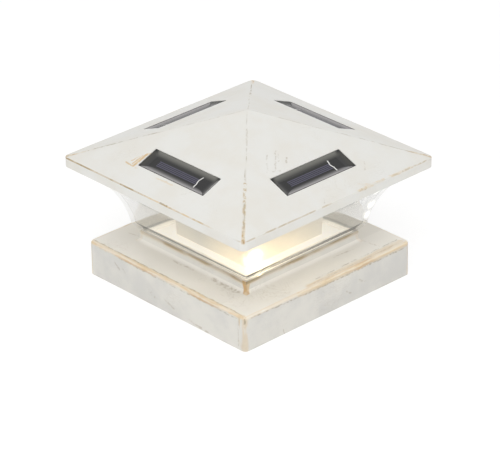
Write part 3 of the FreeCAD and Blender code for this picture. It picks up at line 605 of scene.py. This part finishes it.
# Scales of the noise on the hips, along and across them, and the slice of it that groups the marks.
HIP_ALONG = 170.0
HIP_ACROSS = 300.0
HIP_GROUP_SCALE = 38.0
HIP_GROUP_SLICE = 2.0
# The share of the wear that stays on the upper hips and in the gaps of the front eave.
UPPER_HIP_FLOOR = 0.5
FRONT_EAVE_FLOOR = 0.4
# The first marks of ROOF_TAN, which make the patch beside the front window.
PATCH_MARKS = 4


def roof_paint():
    paint = WornPaint("worn_paint_roof")
    hip = paint.times(paint.size_of(paint.minus(paint.reach_x, paint.reach_y)), math.sqrt(0.5))
    outward = paint.hypot(paint.x, paint.y)
    hip_place = paint.vector(paint.times(outward, HIP_ALONG), paint.seed, paint.times(hip, HIP_ACROSS))
    hip_run = paint.noise(hip_place, detail=3.0, roughness=0.7)
    group_place = paint.vector(paint.times(outward, HIP_GROUP_SCALE), paint.seed, HIP_GROUP_SLICE)
    hip_groups = paint.noise(group_place, detail=1.0)
    on_slope = paint.fade(paint.z, SLOPE_FULL, SLOPE_NONE)
    hip_line = paint.times(paint.near(hip, "thin_hip"), on_slope)
    hip_brown = paint.times(hip_line, paint.cut(hip_run, "hip_brown"), paint.cut(hip_groups, "hip_groups"))
    hip_brown = paint.times(hip_brown, paint.at_least(paint.near(outward, "lower_roof"), UPPER_HIP_FLOOR))
    wide_hip = paint.near(hip, "wide_hip")
    at_front = paint.over(paint.minus(paint.x, paint.y), FRONT_HIP)
    front_hip = paint.times(wide_hip, at_front, on_slope, paint.cut(paint.speckle, "front_hip"))
    low_hip = paint.times(paint.near(outward, "low_hip"), on_slope)
    hip_tan = paint.times(wide_hip, low_hip, paint.cut(hip_run, "hip_tan"))

    eave = paint.hypot(paint.minus(paint.reach, ROOF_HALF), paint.minus(paint.z, EAVE))
    eave_run = paint.along_noise(along=120.0, across=200.0, shift=1.0, detail=3.0, roughness=0.7)
    eave_groups = paint.along_noise(along=24.0, across=10.0, shift=4.0)
    eave_line = paint.near(eave, "eave")
    eave_brown = paint.times(eave_line, paint.cut(eave_run, "eave"), paint.cut(eave_groups, "eave_groups"))
    front_share = paint.times(paint.under(paint.y, FRONT_SIDE), paint.near(paint.x, "front_eave"))
    front_gaps = paint.at_least(paint.cut(eave_run, "front_eave"), FRONT_EAVE_FLOOR)
    front_eave = paint.times(eave_line, front_share, front_gaps)

    tan = paint.most(
        paint.times(paint.strokes(ROOF_TAN), paint.cut(paint.patches, "roof_tan")),
        paint.times(hip_tan, TAN_SHARE["hip"]),
        paint.times(eave_brown, TAN_SHARE["eave"]),
        paint.times(front_hip, TAN_SHARE["front_hip"]),
        front_eave,
    )
    patch = paint.times(paint.strokes(ROOF_TAN[:PATCH_MARKS]), paint.cut(paint.patches, "roof_orange"))
    hip_orange = paint.times(hip_tan, paint.cut(hip_run, "hip_orange"))
    orange = paint.most(hip_orange, paint.times(patch, PATCH_ORANGE))
    brown = paint.most(
        paint.times(paint.strokes(ROOF_BROWN), paint.cut(paint.speckle, "roof_brown")),
        paint.times(hip_brown, BROWN_SHARE["hip"]),
        paint.times(eave_brown, BROWN_SHARE["eave"]),
        paint.times(front_hip, BROWN_SHARE["front_hip"]),
        paint.times(front_eave, paint.cut(eave_groups, "front_groups")),
        paint.times(paint.scratches(group_scale=31.0), BROWN_SHARE["roof_scratches"]),
    )
    paint.finish(tan, orange, brown)
    return paint


# ---------------------------------------------------------------- clear shade, housing and lamps
SHADE_CLEAR = (0.958, 0.956, 0.950)
SHADE_HAZY = (0.928, 0.926, 0.918)
SHADE_EDGE = (0.66, 0.66, 0.64)
SHADE_EDGE_POWER = 2.5
SHADE_HAZE = (0.7, 0.3)
SHADE_OPTICS = {
    "Roughness": 0.0, "IOR": 1.04, "Transmission_Weight": 1.0,
    "Coat_Weight": 0.8, "Coat_Roughness": 0.02, "Coat_IOR": 1.49,
}
# Painted glints of the lamp on the shade, glowing spots that stand in for its reflections: place and half
# width in millimetres.
LAMP_GLINTS = (((59.0, 46.9, 59.1), 3.9), ((53.8, 48.1, 47.6), 4.2), ((51.0, 47.0, 40.4), 3.6))
GLINT_COLOUR = (1.0, 0.97, 0.88)
GLINT_STRENGTH = 1.5


def clear_plastic():
    """Clear plastic that greys where it is seen along its surface, with painted glints of the lamp: glowing
    spots standing in for its reflections.
    """
    shader = Shader("clear_shade", **SHADE_OPTICS)
    facing = shader.add("ShaderNodeLayerWeight")
    facing.inputs["Blend"].default_value = 0.5
    edge = shader.power(facing.outputs["Facing"], SHADE_EDGE_POWER)
    haze = shader.noise(shader.place, scale=60.0, detail=3.0)
    clear = shader.mix(shader.fade(haze, *SHADE_HAZE), SHADE_CLEAR, SHADE_HAZY)
    shader.colour(shader.mix(edge, clear, SHADE_EDGE))
    # Painted reflections of the lamp on the shade.
    glints = 0.0
    for spot, half_width in LAMP_GLINTS:
        away = shader.vector_math("DISTANCE", shader.place, tuple(Vector(spot) * MM))
        glints = shader.most(glints, shader.fade(away, 0.0, half_width * MM))
    shader.glow(GLINT_COLOUR, shader.times(glints, haze, GLINT_STRENGTH))
    return shader


MOULDING = (0.83, 0.83, 0.80)
MOULDING_WARM = (0.79, 0.785, 0.75)
MOULDING_ROUGHNESS = 0.35
MOULDING_SPREAD = 0.15
MOULDING_DEPTH = 0.03 * MM
MOULDING_STRENGTH = 0.3
HALO_COLOUR = (1.0, 0.72, 0.32)
HALO_HOT = (1.0, 0.92, 0.74)
HALO_REACH = 86.0 * MM
HALO_POWER = 1.2
HALO_STRENGTH = 0.55
HALO_FLATNESS = 1.5
HOT_SHIFT = 2.0 * MM
HOT_FULL = 2.0 * MM
HOT_NONE = 11.0 * MM
HOT_POWER = 2.0
HOT_STRENGTH = 1.6
LAMP_SIGNS = (1.0, -1.0)


def lamp_distance(shader, sign, shift):
    """Distance to one lamp's place on the housing wall. Sign 1 is the right-hand lamp."""
    dx = shader.times(shader.minus(shader.x, HOUSING_HALF * sign), HALO_FLATNESS)
    dy = shader.minus(shader.y, (LAMP_MIDDLE.y - shift) * sign)
    dz = shader.minus(shader.z, LAMP_MIDDLE.z - shift / 2)
    return shader.hypot(shader.hypot(dx, dy), dz)


def nearer_lamp(shader, shift=0.0):
    return shader.least(*[lamp_distance(shader, sign, shift) for sign in LAMP_SIGNS])


def white_moulding():
    """White plastic with painted lamp light: a warm halo glowing round each lamp and a hot spot beside it.
    """
    shader = Shader("housing_white", Specular_IOR_Level=0.5)
    grain = shader.noise(shader.place, scale=900.0, detail=3.0)
    cloud = shader.noise(shader.place, scale=40.0)
    shader.colour(shader.mix(cloud, MOULDING, MOULDING_WARM))
    shader.rough(shader.plus(shader.times(grain, MOULDING_SPREAD), MOULDING_ROUGHNESS))
    shader.bump(grain, MOULDING_DEPTH, MOULDING_STRENGTH)
    # Painted lamp light on the housing wall, which glows although it is no lamp.
    halo = shader.power(shader.fade(nearer_lamp(shader), 0.0, HALO_REACH), HALO_POWER)
    hot = shader.power(shader.fade(nearer_lamp(shader, HOT_SHIFT), HOT_FULL, HOT_NONE), HOT_POWER)
    amount = shader.plus(shader.times(halo, HALO_STRENGTH), shader.times(hot, HOT_STRENGTH))
    shader.glow(shader.mix(hot, HALO_COLOUR, HALO_HOT), amount)
    return shader


LAMP_SHELL = (1.0, 0.95, 0.82)
LAMP_RIM_GLOW = (1.0, 0.78, 0.42)
LAMP_CORE_GLOW = (1.0, 0.93, 0.76)
LAMP_GLOW = 24.0
LAMP_CORE_MORE = 40.0
LAMP_CORE_FULL = 0.4 * MM
LAMP_CORE_NONE = 2.6 * MM


def lit_lamp():
    shader = Shader("lit_lamp", Roughness=0.12)
    side = shader.minus(shader.size_of(shader.y), abs(LAMP_MIDDLE.y))
    core = shader.hypot(side, shader.minus(shader.z, LAMP_MIDDLE.z))
    shader.colour(LAMP_SHELL)
    hot = shader.fade(core, LAMP_CORE_FULL, LAMP_CORE_NONE)
    amount = shader.plus(shader.times(hot, LAMP_CORE_MORE), LAMP_GLOW)
    shader.glow(shader.mix(hot, LAMP_RIM_GLOW, LAMP_CORE_GLOW), amount)
    return shader


# ---------------------------------------------------------------- solar cells and resin
CELL_DARK = ((0.016, 0.016, 0.024), (0.030, 0.029, 0.045))
CELL_LINE = (0.088, 0.084, 0.132)
LINE_FULL = 0.46 * MM
LINE_NONE = 0.16 * MM
FINGER_STEP = 0.4 * MM
FINGER_FULL = 0.02 * MM
FINGER_NONE = 0.10 * MM
FINGER_SHARE = 0.4


def panel_place(shader):
    """Distance down the slope from the middle of a window, and along the window to its right."""
    centre = panel_frame("right").translation
    reach_x = shader.size_of(shader.x)
    reach_y = shader.size_of(shader.y)
    out = shader.times(shader.minus(shader.most(reach_x, reach_y), centre.x), math.cos(SLOPE))
    drop = shader.times(shader.minus(shader.z, centre.z), math.sin(SLOPE))
    to_back = shader.times(shader.y, shader.math("SIGN", shader.x))
    to_right = shader.times(shader.x, shader.times(shader.math("SIGN", shader.y), -1.0))
    across = shader.blend(shader.over(reach_x, reach_y), to_right, to_back)
    return shader.minus(out, drop), across


def solar_cell():
    """Dark strips, each with a violet-grey line along its middle and fine fingers across."""
    shader = Shader("solar_cell", Roughness=0.08, Specular_IOR_Level=0.4)
    down, across = panel_place(shader)
    swirl = shader.noise(shader.place, scale=150.0, detail=3.0)
    line = shader.fade(shader.math("PINGPONG", down, CELL_PITCH / 2), LINE_FULL, LINE_NONE)
    finger = shader.fade(shader.math("PINGPONG", across, FINGER_STEP), FINGER_FULL, FINGER_NONE)
    line = shader.times(line, shader.minus(1.0, shader.times(finger, FINGER_SHARE)))
    shader.colour(shader.mix(line, shader.mix(swirl, *CELL_DARK), CELL_LINE))
    return shader


RESIN_GLOSS = 0.4
BOARD_GLOSS = 0.5
RESIN_TONES = ((0.008, 0.008, 0.009), (0.014, 0.014, 0.013))
# Colours of the ends, and of the painted sheen along the upper and lower borders and of the painted glint.
RESIN_ENDS = (0.034, 0.032, 0.026)
RESIN_UPPER = (0.170, 0.168, 0.150)
RESIN_LOWER = (0.400, 0.385, 0.385)
RESIN_GLINT = (0.700, 0.700, 0.680)
RESIN_REACH = 26.5 * MM
BOARD_TONES = ((0.008, 0.008, 0.009), (0.013, 0.013, 0.013))
# The painted lower reflection: a crescent that bows down at the ends, cut off at the window's edge by a
# thin painted shadow.
BOW_DEPTH = 4.2 * MM
BOW_POWER = 6.0
# Distances from the middle of the window, or shares of its half length, full first.
SHEEN = {
    "crescent": (3.5 * MM, 2.9 * MM),
    "inner": (7.2 * MM, 1.6 * MM),
    "outline": (7.0 * MM, 7.25 * MM),
    "upper": (-7.2 * MM, -3.2 * MM),
    "upper_reach": (0.86, 1.0),
    "ends": (1.0, 0.86),
    "ends_down": (5.0 * MM, 7.0 * MM),
    "glint": (0.10 * MM, 0.32 * MM),
    "glint_down": (5.6 * MM, 6.8 * MM),
}
GLINT_ACROSS = 26.1 * MM
RIPPLE_DEPTH = 0.02 * MM
RIPPLE_STRENGTH = 0.3
RIPPLE_ROUGHNESS = 0.05
RESIN_ROUGHNESS = 0.03


def rippled(name, gloss):
    """Poured resin: nearly smooth, with slow ripples."""
    shader = Shader(name, Specular_IOR_Level=gloss)
    ripple = shader.noise(shader.place, scale=120.0)
    shader.rough(shader.plus(shader.times(ripple, RIPPLE_ROUGHNESS), RESIN_ROUGHNESS))
    shader.bump(ripple, RIPPLE_DEPTH, RIPPLE_STRENGTH)
    return shader, ripple


def resin_sheen():
    """Black resin with a painted sheen on its raised borders, pale towards the lower edge and grey along
    the upper, a thin painted glint at one end of the front window and a thin painted shadow along the lower
    edge; the ends are a little lighter and browner.
    """
    shader, ripple = rippled("resin_sheen", RESIN_GLOSS)
    down, across = panel_place(shader)
    from_middle = shader.size_of(down)
    reach = shader.math("DIVIDE", shader.size_of(across), RESIN_REACH)
    bow = shader.times(shader.power(reach, BOW_POWER), BOW_DEPTH)
    crescent = shader.fade(shader.minus(down, bow), *SHEEN["crescent"])
    inner = shader.fade(down, *SHEEN["inner"])
    outline = shader.fade(down, *SHEEN["outline"])
    lower = shader.times(shader.times(crescent, outline), shader.times(inner, inner))
    upper = shader.times(shader.fade(down, *SHEEN["upper"]), shader.fade(reach, *SHEEN["upper_reach"]))
    ends = shader.times(shader.fade(reach, *SHEEN["ends"]), shader.fade(from_middle, *SHEEN["ends_down"]))
    by_end = shader.size_of(shader.minus(across, GLINT_ACROSS))
    on_front = shader.under(shader.y, -PLINTH_HALF)
    glint = shader.times(shader.fade(by_end, *SHEEN["glint"]), on_front)
    glint = shader.times(glint, shader.fade(from_middle, *SHEEN["glint_down"]))
    # Painted sheen, glint and shadow line on the black resin.
    tone = shader.mix(ripple, *RESIN_TONES)
    tone = shader.mix(ends, tone, RESIN_ENDS)
    tone = shader.mix(upper, tone, RESIN_UPPER)
    tone = shader.mix(lower, tone, RESIN_LOWER)
    shader.colour(shader.mix(glint, tone, RESIN_GLINT))
    return shader


def glossy_black():
    """The black board behind the cells, one gloss layer."""
    shader, ripple = rippled("panel_black", BOARD_GLOSS)
    shader.colour(shader.mix(ripple, *BOARD_TONES))
    return shader


# ---------------------------------------------------------------- plain surfaces
GRAIN_SCALE = 400.0
GRAIN_DEPTH = 0.02 * MM
GRAIN_STRENGTH = 0.4
GRAIN_SPREAD = 0.16
# Two colours that the grain mixes, the mean roughness, and 1 for metal.
PLAIN = {
    "seal": ((0.88, 0.88, 0.86), (0.80, 0.80, 0.77), 0.45, 0.0),
    "tinned_ribbon": ((0.82, 0.81, 0.78), (0.66, 0.66, 0.65), 0.30, 1.0),
    "black_plastic": ((0.03, 0.03, 0.032), (0.045, 0.045, 0.047), 0.5, 0.0),
    "screw_steel": ((0.60, 0.60, 0.59), (0.46, 0.46, 0.46), 0.34, 1.0),
    "battery_sleeve": ((0.06, 0.24, 0.12), (0.04, 0.18, 0.09), 0.3, 0.0),
    "nickel_contact": ((0.74, 0.72, 0.68), (0.60, 0.59, 0.56), 0.25, 1.0),
    "board_green": ((0.02, 0.16, 0.07), (0.03, 0.22, 0.10), 0.3, 0.0),
    "component_black": ((0.025, 0.025, 0.027), (0.04, 0.04, 0.042), 0.45, 0.0),
    "capacitor_can": ((0.70, 0.71, 0.73), (0.58, 0.59, 0.61), 0.28, 1.0),
    "lead_insulation": ((0.40, 0.03, 0.03), (0.30, 0.02, 0.02), 0.45, 0.0),
}


def plain(name, colour, other, roughness, metal):
    """A moulded or plated surface with fine mottling and grain."""
    shader = Shader(name, Metallic=metal)
    grain = shader.noise(shader.place, scale=GRAIN_SCALE, detail=4.0, roughness=0.6)
    shader.colour(shader.mix(grain, colour, other))
    shader.rough(shader.plus(shader.times(grain, GRAIN_SPREAD), roughness - GRAIN_SPREAD / 2))
    shader.bump(grain, GRAIN_DEPTH, GRAIN_STRENGTH)
    return shader


SHADERS = {name: plain(name, *look) for name, look in PLAIN.items()}
SHADERS["panel_black"] = glossy_black()
SHADERS["solar_cell"] = solar_cell()
SHADERS["lamp_clear"] = lit_lamp()
SHADERS["housing_white"] = white_moulding()
SHADERS["clear_shade"] = clear_plastic()
RESIN = resin_sheen()
SLOT_OF = {row["node"]: row["material_slot"] for row in frame["record"]["subparts"]}
for node_name, slot_name in SLOT_OF.items():
    if slot_name in SHADERS:
        dress(node_name, SHADERS[slot_name])
dress("base_collar", collar_paint())
dress("roof_cap", roof_paint())

SHADE_ROUNDING = 0.8 * MM
ROUNDING_STEPS = 3
SHARP = 60.0
WELD_DISTANCE = 0.005 * MM


def soften(name, width):
    """Rounds the sharp edges of a CAD node."""
    join = nodes[name].modifiers.new("join", "WELD")
    join.merge_threshold = WELD_DISTANCE
    rounding = nodes[name].modifiers.new("rounding", "BEVEL")
    rounding.width = width
    rounding.segments = ROUNDING_STEPS
    rounding.limit_method = "ANGLE"
    rounding.angle_limit = math.radians(SHARP)


soften("lens_shade", SHADE_ROUNDING)
# Clear plastic lets the light through to the housing and the deck.
nodes["lens_shade"].visible_shadow = False


# ---------------------------------------------------------------- solar windows
PANEL_LENGTH = 54.4 * MM
PANEL_HEIGHT = 14.8 * MM
PAN_FLOOR_LENGTH = 44.0 * MM
PAN_FLOOR_HEIGHT = 6.4 * MM
PAN_FLOOR_LIFT = 0.2 * MM
PAN_BASE_LIFT = 0.02 * MM
PAN_RISE = 1.45 * MM
PAN_STEPS = 9
PAN_CURVE = 2.0


def ring_faces(mesh, inner, outer):
    """Joins two rings of four vertices with four faces."""
    for index in range(4):
        after = (index + 1) % 4
        mesh.faces.new((inner[index], outer[index], outer[after], inner[after]))


def window_piece(name, mesh, side, material):
    """Makes an object of a mesh that is drawn in the frame of one panel."""
    bmesh.ops.recalc_face_normals(mesh, faces=mesh.faces)
    data = bpy.data.meshes.new(name)
    mesh.to_mesh(data)
    mesh.free()
    data.transform(panel_frame(side))
    data.materials.append(material)
    return place_object(name, data)


def resin_pan(side):
    """Poured resin: flat over the cells and drawn up to a thin edge all round."""
    mesh = bmesh.new()
    rows = []
    for step in range(PAN_STEPS + 1):
        share = step / PAN_STEPS
        x = (PAN_FLOOR_HEIGHT + (PANEL_HEIGHT - PAN_FLOOR_HEIGHT) * share) / 2
        y = (PAN_FLOOR_LENGTH + (PANEL_LENGTH - PAN_FLOOR_LENGTH) * share) / 2
        lift = PAN_FLOOR_LIFT + PAN_RISE * share ** PAN_CURVE
        rows.append([mesh.verts.new((*corner, lift)) for corner in ((x, -y), (x, y), (-x, y), (-x, -y))])
    base = [mesh.verts.new((v.co.x, v.co.y, PAN_BASE_LIFT)) for v in rows[-1]]
    mesh.faces.new(rows[0])
    for inner, outer in zip(rows, rows[1:] + [base]):
        ring_faces(mesh, inner, outer)
    mesh.faces.new(list(reversed(base)))
    pan = window_piece("resin_pan_" + side, mesh, side, RESIN.material)
    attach(pan, "head")
    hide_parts("resin_cover_" + side)


# The ribbon's runs in the frame of one panel: down the slope and across, in millimetres.
RIBBON_RUNS = (
    ((-4.3, 15.6), (-1.4, 14.8)),
    ((-1.4, 14.8), (-0.3, 14.8)),
    ((-0.3, 14.8), (1.6, 15.5)),
    ((1.6, 15.5), (4.5, 15.5)),
)
RIBBON_HALF = 0.36 * MM
RIBBON_LOW = 0.26 * MM
RIBBON_HIGH = 0.40 * MM


def kinked_ribbon(side):
    """The silver ribbon over the strips, pressed into two offset runs with a short jog between them."""
    mesh = bmesh.new()
    for start, end in RIBBON_RUNS:
        first = Vector((start[0] * MM, start[1] * MM, 0))
        last = Vector((end[0] * MM, end[1] * MM, 0))
        way = (last - first).normalized()
        across = Vector((-way.y, way.x, 0)) * RIBBON_HALF
        outline = (first - across, last - across, last + across, first + across)
        low = [mesh.verts.new((p.x, p.y, RIBBON_LOW)) for p in outline]
        high = [mesh.verts.new((p.x, p.y, RIBBON_HIGH)) for p in outline]
        mesh.faces.new(list(reversed(low)))
        mesh.faces.new(high)
        ring_faces(mesh, high, low)
    ribbon = window_piece("kinked_ribbon_" + side, mesh, side, SHADERS["tinned_ribbon"].material)
    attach(ribbon, "head")
    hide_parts("cell_ribbon_" + side)


for side_name in SIDES:
    resin_pan(side_name)
    kinked_ribbon(side_name)


# ---------------------------------------------------------------- floor, light and camera
def wire(tree, *pairs):
    """Joins outputs to inputs, given in pairs."""
    for source, socket in pairs:
        tree.links.new(source, socket)


def grey(level):
    return (level, level, level, 1)


def ray_share(tree):
    """1 for rays that see the surroundings: straight from the camera, mirrored or through clear plastic."""
    path = add_node(tree, "ShaderNodeLightPath")
    first = add_node(tree, "ShaderNodeMath", operation="MAXIMUM")
    second = add_node(tree, "ShaderNodeMath", operation="MAXIMUM")
    wire(
        tree,
        (path.outputs["Is Camera Ray"], first.inputs[0]),
        (path.outputs["Is Glossy Ray"], first.inputs[1]),
        (first.outputs[0], second.inputs[0]),
        (path.outputs["Is Transmission Ray"], second.inputs[1]),
    )
    return second.outputs[0]


FLOOR_HALF = 3.0
# The floor as the camera sees it: light of its own with a weak shadow on top.
FLOOR_SELF_LIGHT = 0.70
FLOOR_SHADE = 0.40
# The floor as the rest of the scene sees it.
FLOOR_TONE = 0.80
HORIZON_LIGHT = 1.45
ZENITH_LIGHT = 0.40
ZENITH = 0.75


def make_floor():
    mesh = bpy.data.meshes.new("floor")
    corners = [(x * FLOOR_HALF, y * FLOOR_HALF, 0) for x, y in ((-1, -1), (1, -1), (1, 1), (-1, 1))]
    mesh.from_pydata(corners, [], [(0, 1, 2, 3)])
    floor = place_object("floor", mesh)
    material = bpy.data.materials.new("pale_floor")
    material.use_nodes = True
    tree = material.node_tree
    tree.nodes.clear()
    out = add_node(tree, "ShaderNodeOutputMaterial")
    choose = add_node(tree, "ShaderNodeMixShader")
    plain_floor = add_node(tree, "ShaderNodeBsdfDiffuse")
    plain_floor.inputs["Color"].default_value = grey(FLOOR_TONE)
    seen = add_node(tree, "ShaderNodeAddShader")
    soft = add_node(tree, "ShaderNodeBsdfDiffuse")
    soft.inputs["Color"].default_value = grey(FLOOR_SHADE)
    lit = add_node(tree, "ShaderNodeEmission")
    lit.inputs["Strength"].default_value = FLOOR_SELF_LIGHT
    wire(
        tree,
        (soft.outputs[0], seen.inputs[0]),
        (lit.outputs[0], seen.inputs[1]),
        (ray_share(tree), choose.inputs[0]),
        (plain_floor.outputs[0], choose.inputs[1]),
        (seen.outputs[0], choose.inputs[2]),
        (choose.outputs[0], out.inputs[0]),
    )
    mesh.materials.append(material)


def make_world():
    world = bpy.data.worlds.new("white_room")
    bpy.context.scene.world = world
    world.use_nodes = True
    tree = world.node_tree
    tree.nodes.clear()
    out = add_node(tree, "ShaderNodeOutputWorld")
    choose = add_node(tree, "ShaderNodeMixShader")
    place = add_node(tree, "ShaderNodeTexCoord")
    split = add_node(tree, "ShaderNodeSeparateXYZ")
    climb = add_node(tree, "ShaderNodeMapRange", interpolation_type="SMOOTHSTEP")
    climb.inputs["From Min"].default_value = 0.0
    climb.inputs["From Max"].default_value = ZENITH
    climb.inputs["To Min"].default_value = HORIZON_LIGHT
    climb.inputs["To Max"].default_value = ZENITH_LIGHT
    room = add_node(tree, "ShaderNodeBackground")
    room.inputs["Color"].default_value = grey(1)
    white = add_node(tree, "ShaderNodeBackground")
    white.inputs["Color"].default_value = grey(1)
    wire(
        tree,
        (place.outputs["Generated"], split.inputs[0]),
        (split.outputs["Z"], climb.inputs["Value"]),
        (climb.outputs["Result"], room.inputs["Strength"]),
        (ray_share(tree), choose.inputs[0]),
        (room.outputs[0], choose.inputs[1]),
        (white.outputs[0], choose.inputs[2]),
        (choose.outputs[0], out.inputs[0]),
    )


LIGHT_TARGET = Vector((0, 0, 0.05))
# Name, place, width of the square and power of each soft light.
SOFT_LIGHTS = (
    ("top_light", (-0.1, 0.2, 1.5), 1.4, 3.1),
    ("fill_light", (0.55, -0.66, 1.05), 0.7, 5.6),
)


def soft_box(name, place, width, power):
    data = bpy.data.lights.new(name, "AREA")
    data.shape = "SQUARE"
    data.size = width
    data.energy = power
    lamp = place_object(name, data)
    lamp.location = place
    lamp.rotation_mode = "QUATERNION"
    lamp.rotation_quaternion = (LIGHT_TARGET - Vector(place)).to_track_quat("-Z", "Y")


# The camera's place follows from a fit to corners of the collar, plinth and roof.
CAMERA_AZIMUTH = math.radians(46.823)
CAMERA_ELEVATION = math.radians(27.462)
CAMERA_ROLL = math.radians(-0.705)
CAMERA_DISTANCE = 1.7434
CAMERA_SHIFT = (0.0002, 0.02793)
CAMERA_FAR = 20.0
PICTURE_WIDTH = 500
FOCAL_PIXELS = 2940.0
SENSOR_WIDTH = 36.0


def make_camera():
    azimuth, elevation = CAMERA_AZIMUTH, CAMERA_ELEVATION
    flat = math.cos(elevation)
    back = Vector((math.sin(azimuth) * flat, -math.cos(azimuth) * flat, math.sin(elevation)))
    level = Vector((math.cos(azimuth), math.sin(azimuth), 0))
    rise = back.cross(level)
    right = level * math.cos(CAMERA_ROLL) + rise * math.sin(CAMERA_ROLL)
    up = rise * math.cos(CAMERA_ROLL) - level * math.sin(CAMERA_ROLL)
    data = bpy.data.cameras.new("camera")
    data.sensor_width = SENSOR_WIDTH
    data.lens = SENSOR_WIDTH * FOCAL_PIXELS / PICTURE_WIDTH
    data.clip_end = CAMERA_FAR
    camera = place_object("camera", data)
    place = right * CAMERA_SHIFT[0] + up * CAMERA_SHIFT[1] + back * CAMERA_DISTANCE
    turned = Matrix((right, up, back)).transposed()
    camera.matrix_world = Matrix.Translation(place) @ turned.to_4x4()
    bpy.context.scene.camera = camera


make_floor()
make_world()
for soft_light in SOFT_LIGHTS:
    soft_box(*soft_light)
make_camera()
bpy.context.scene.view_settings.view_transform = "Standard"
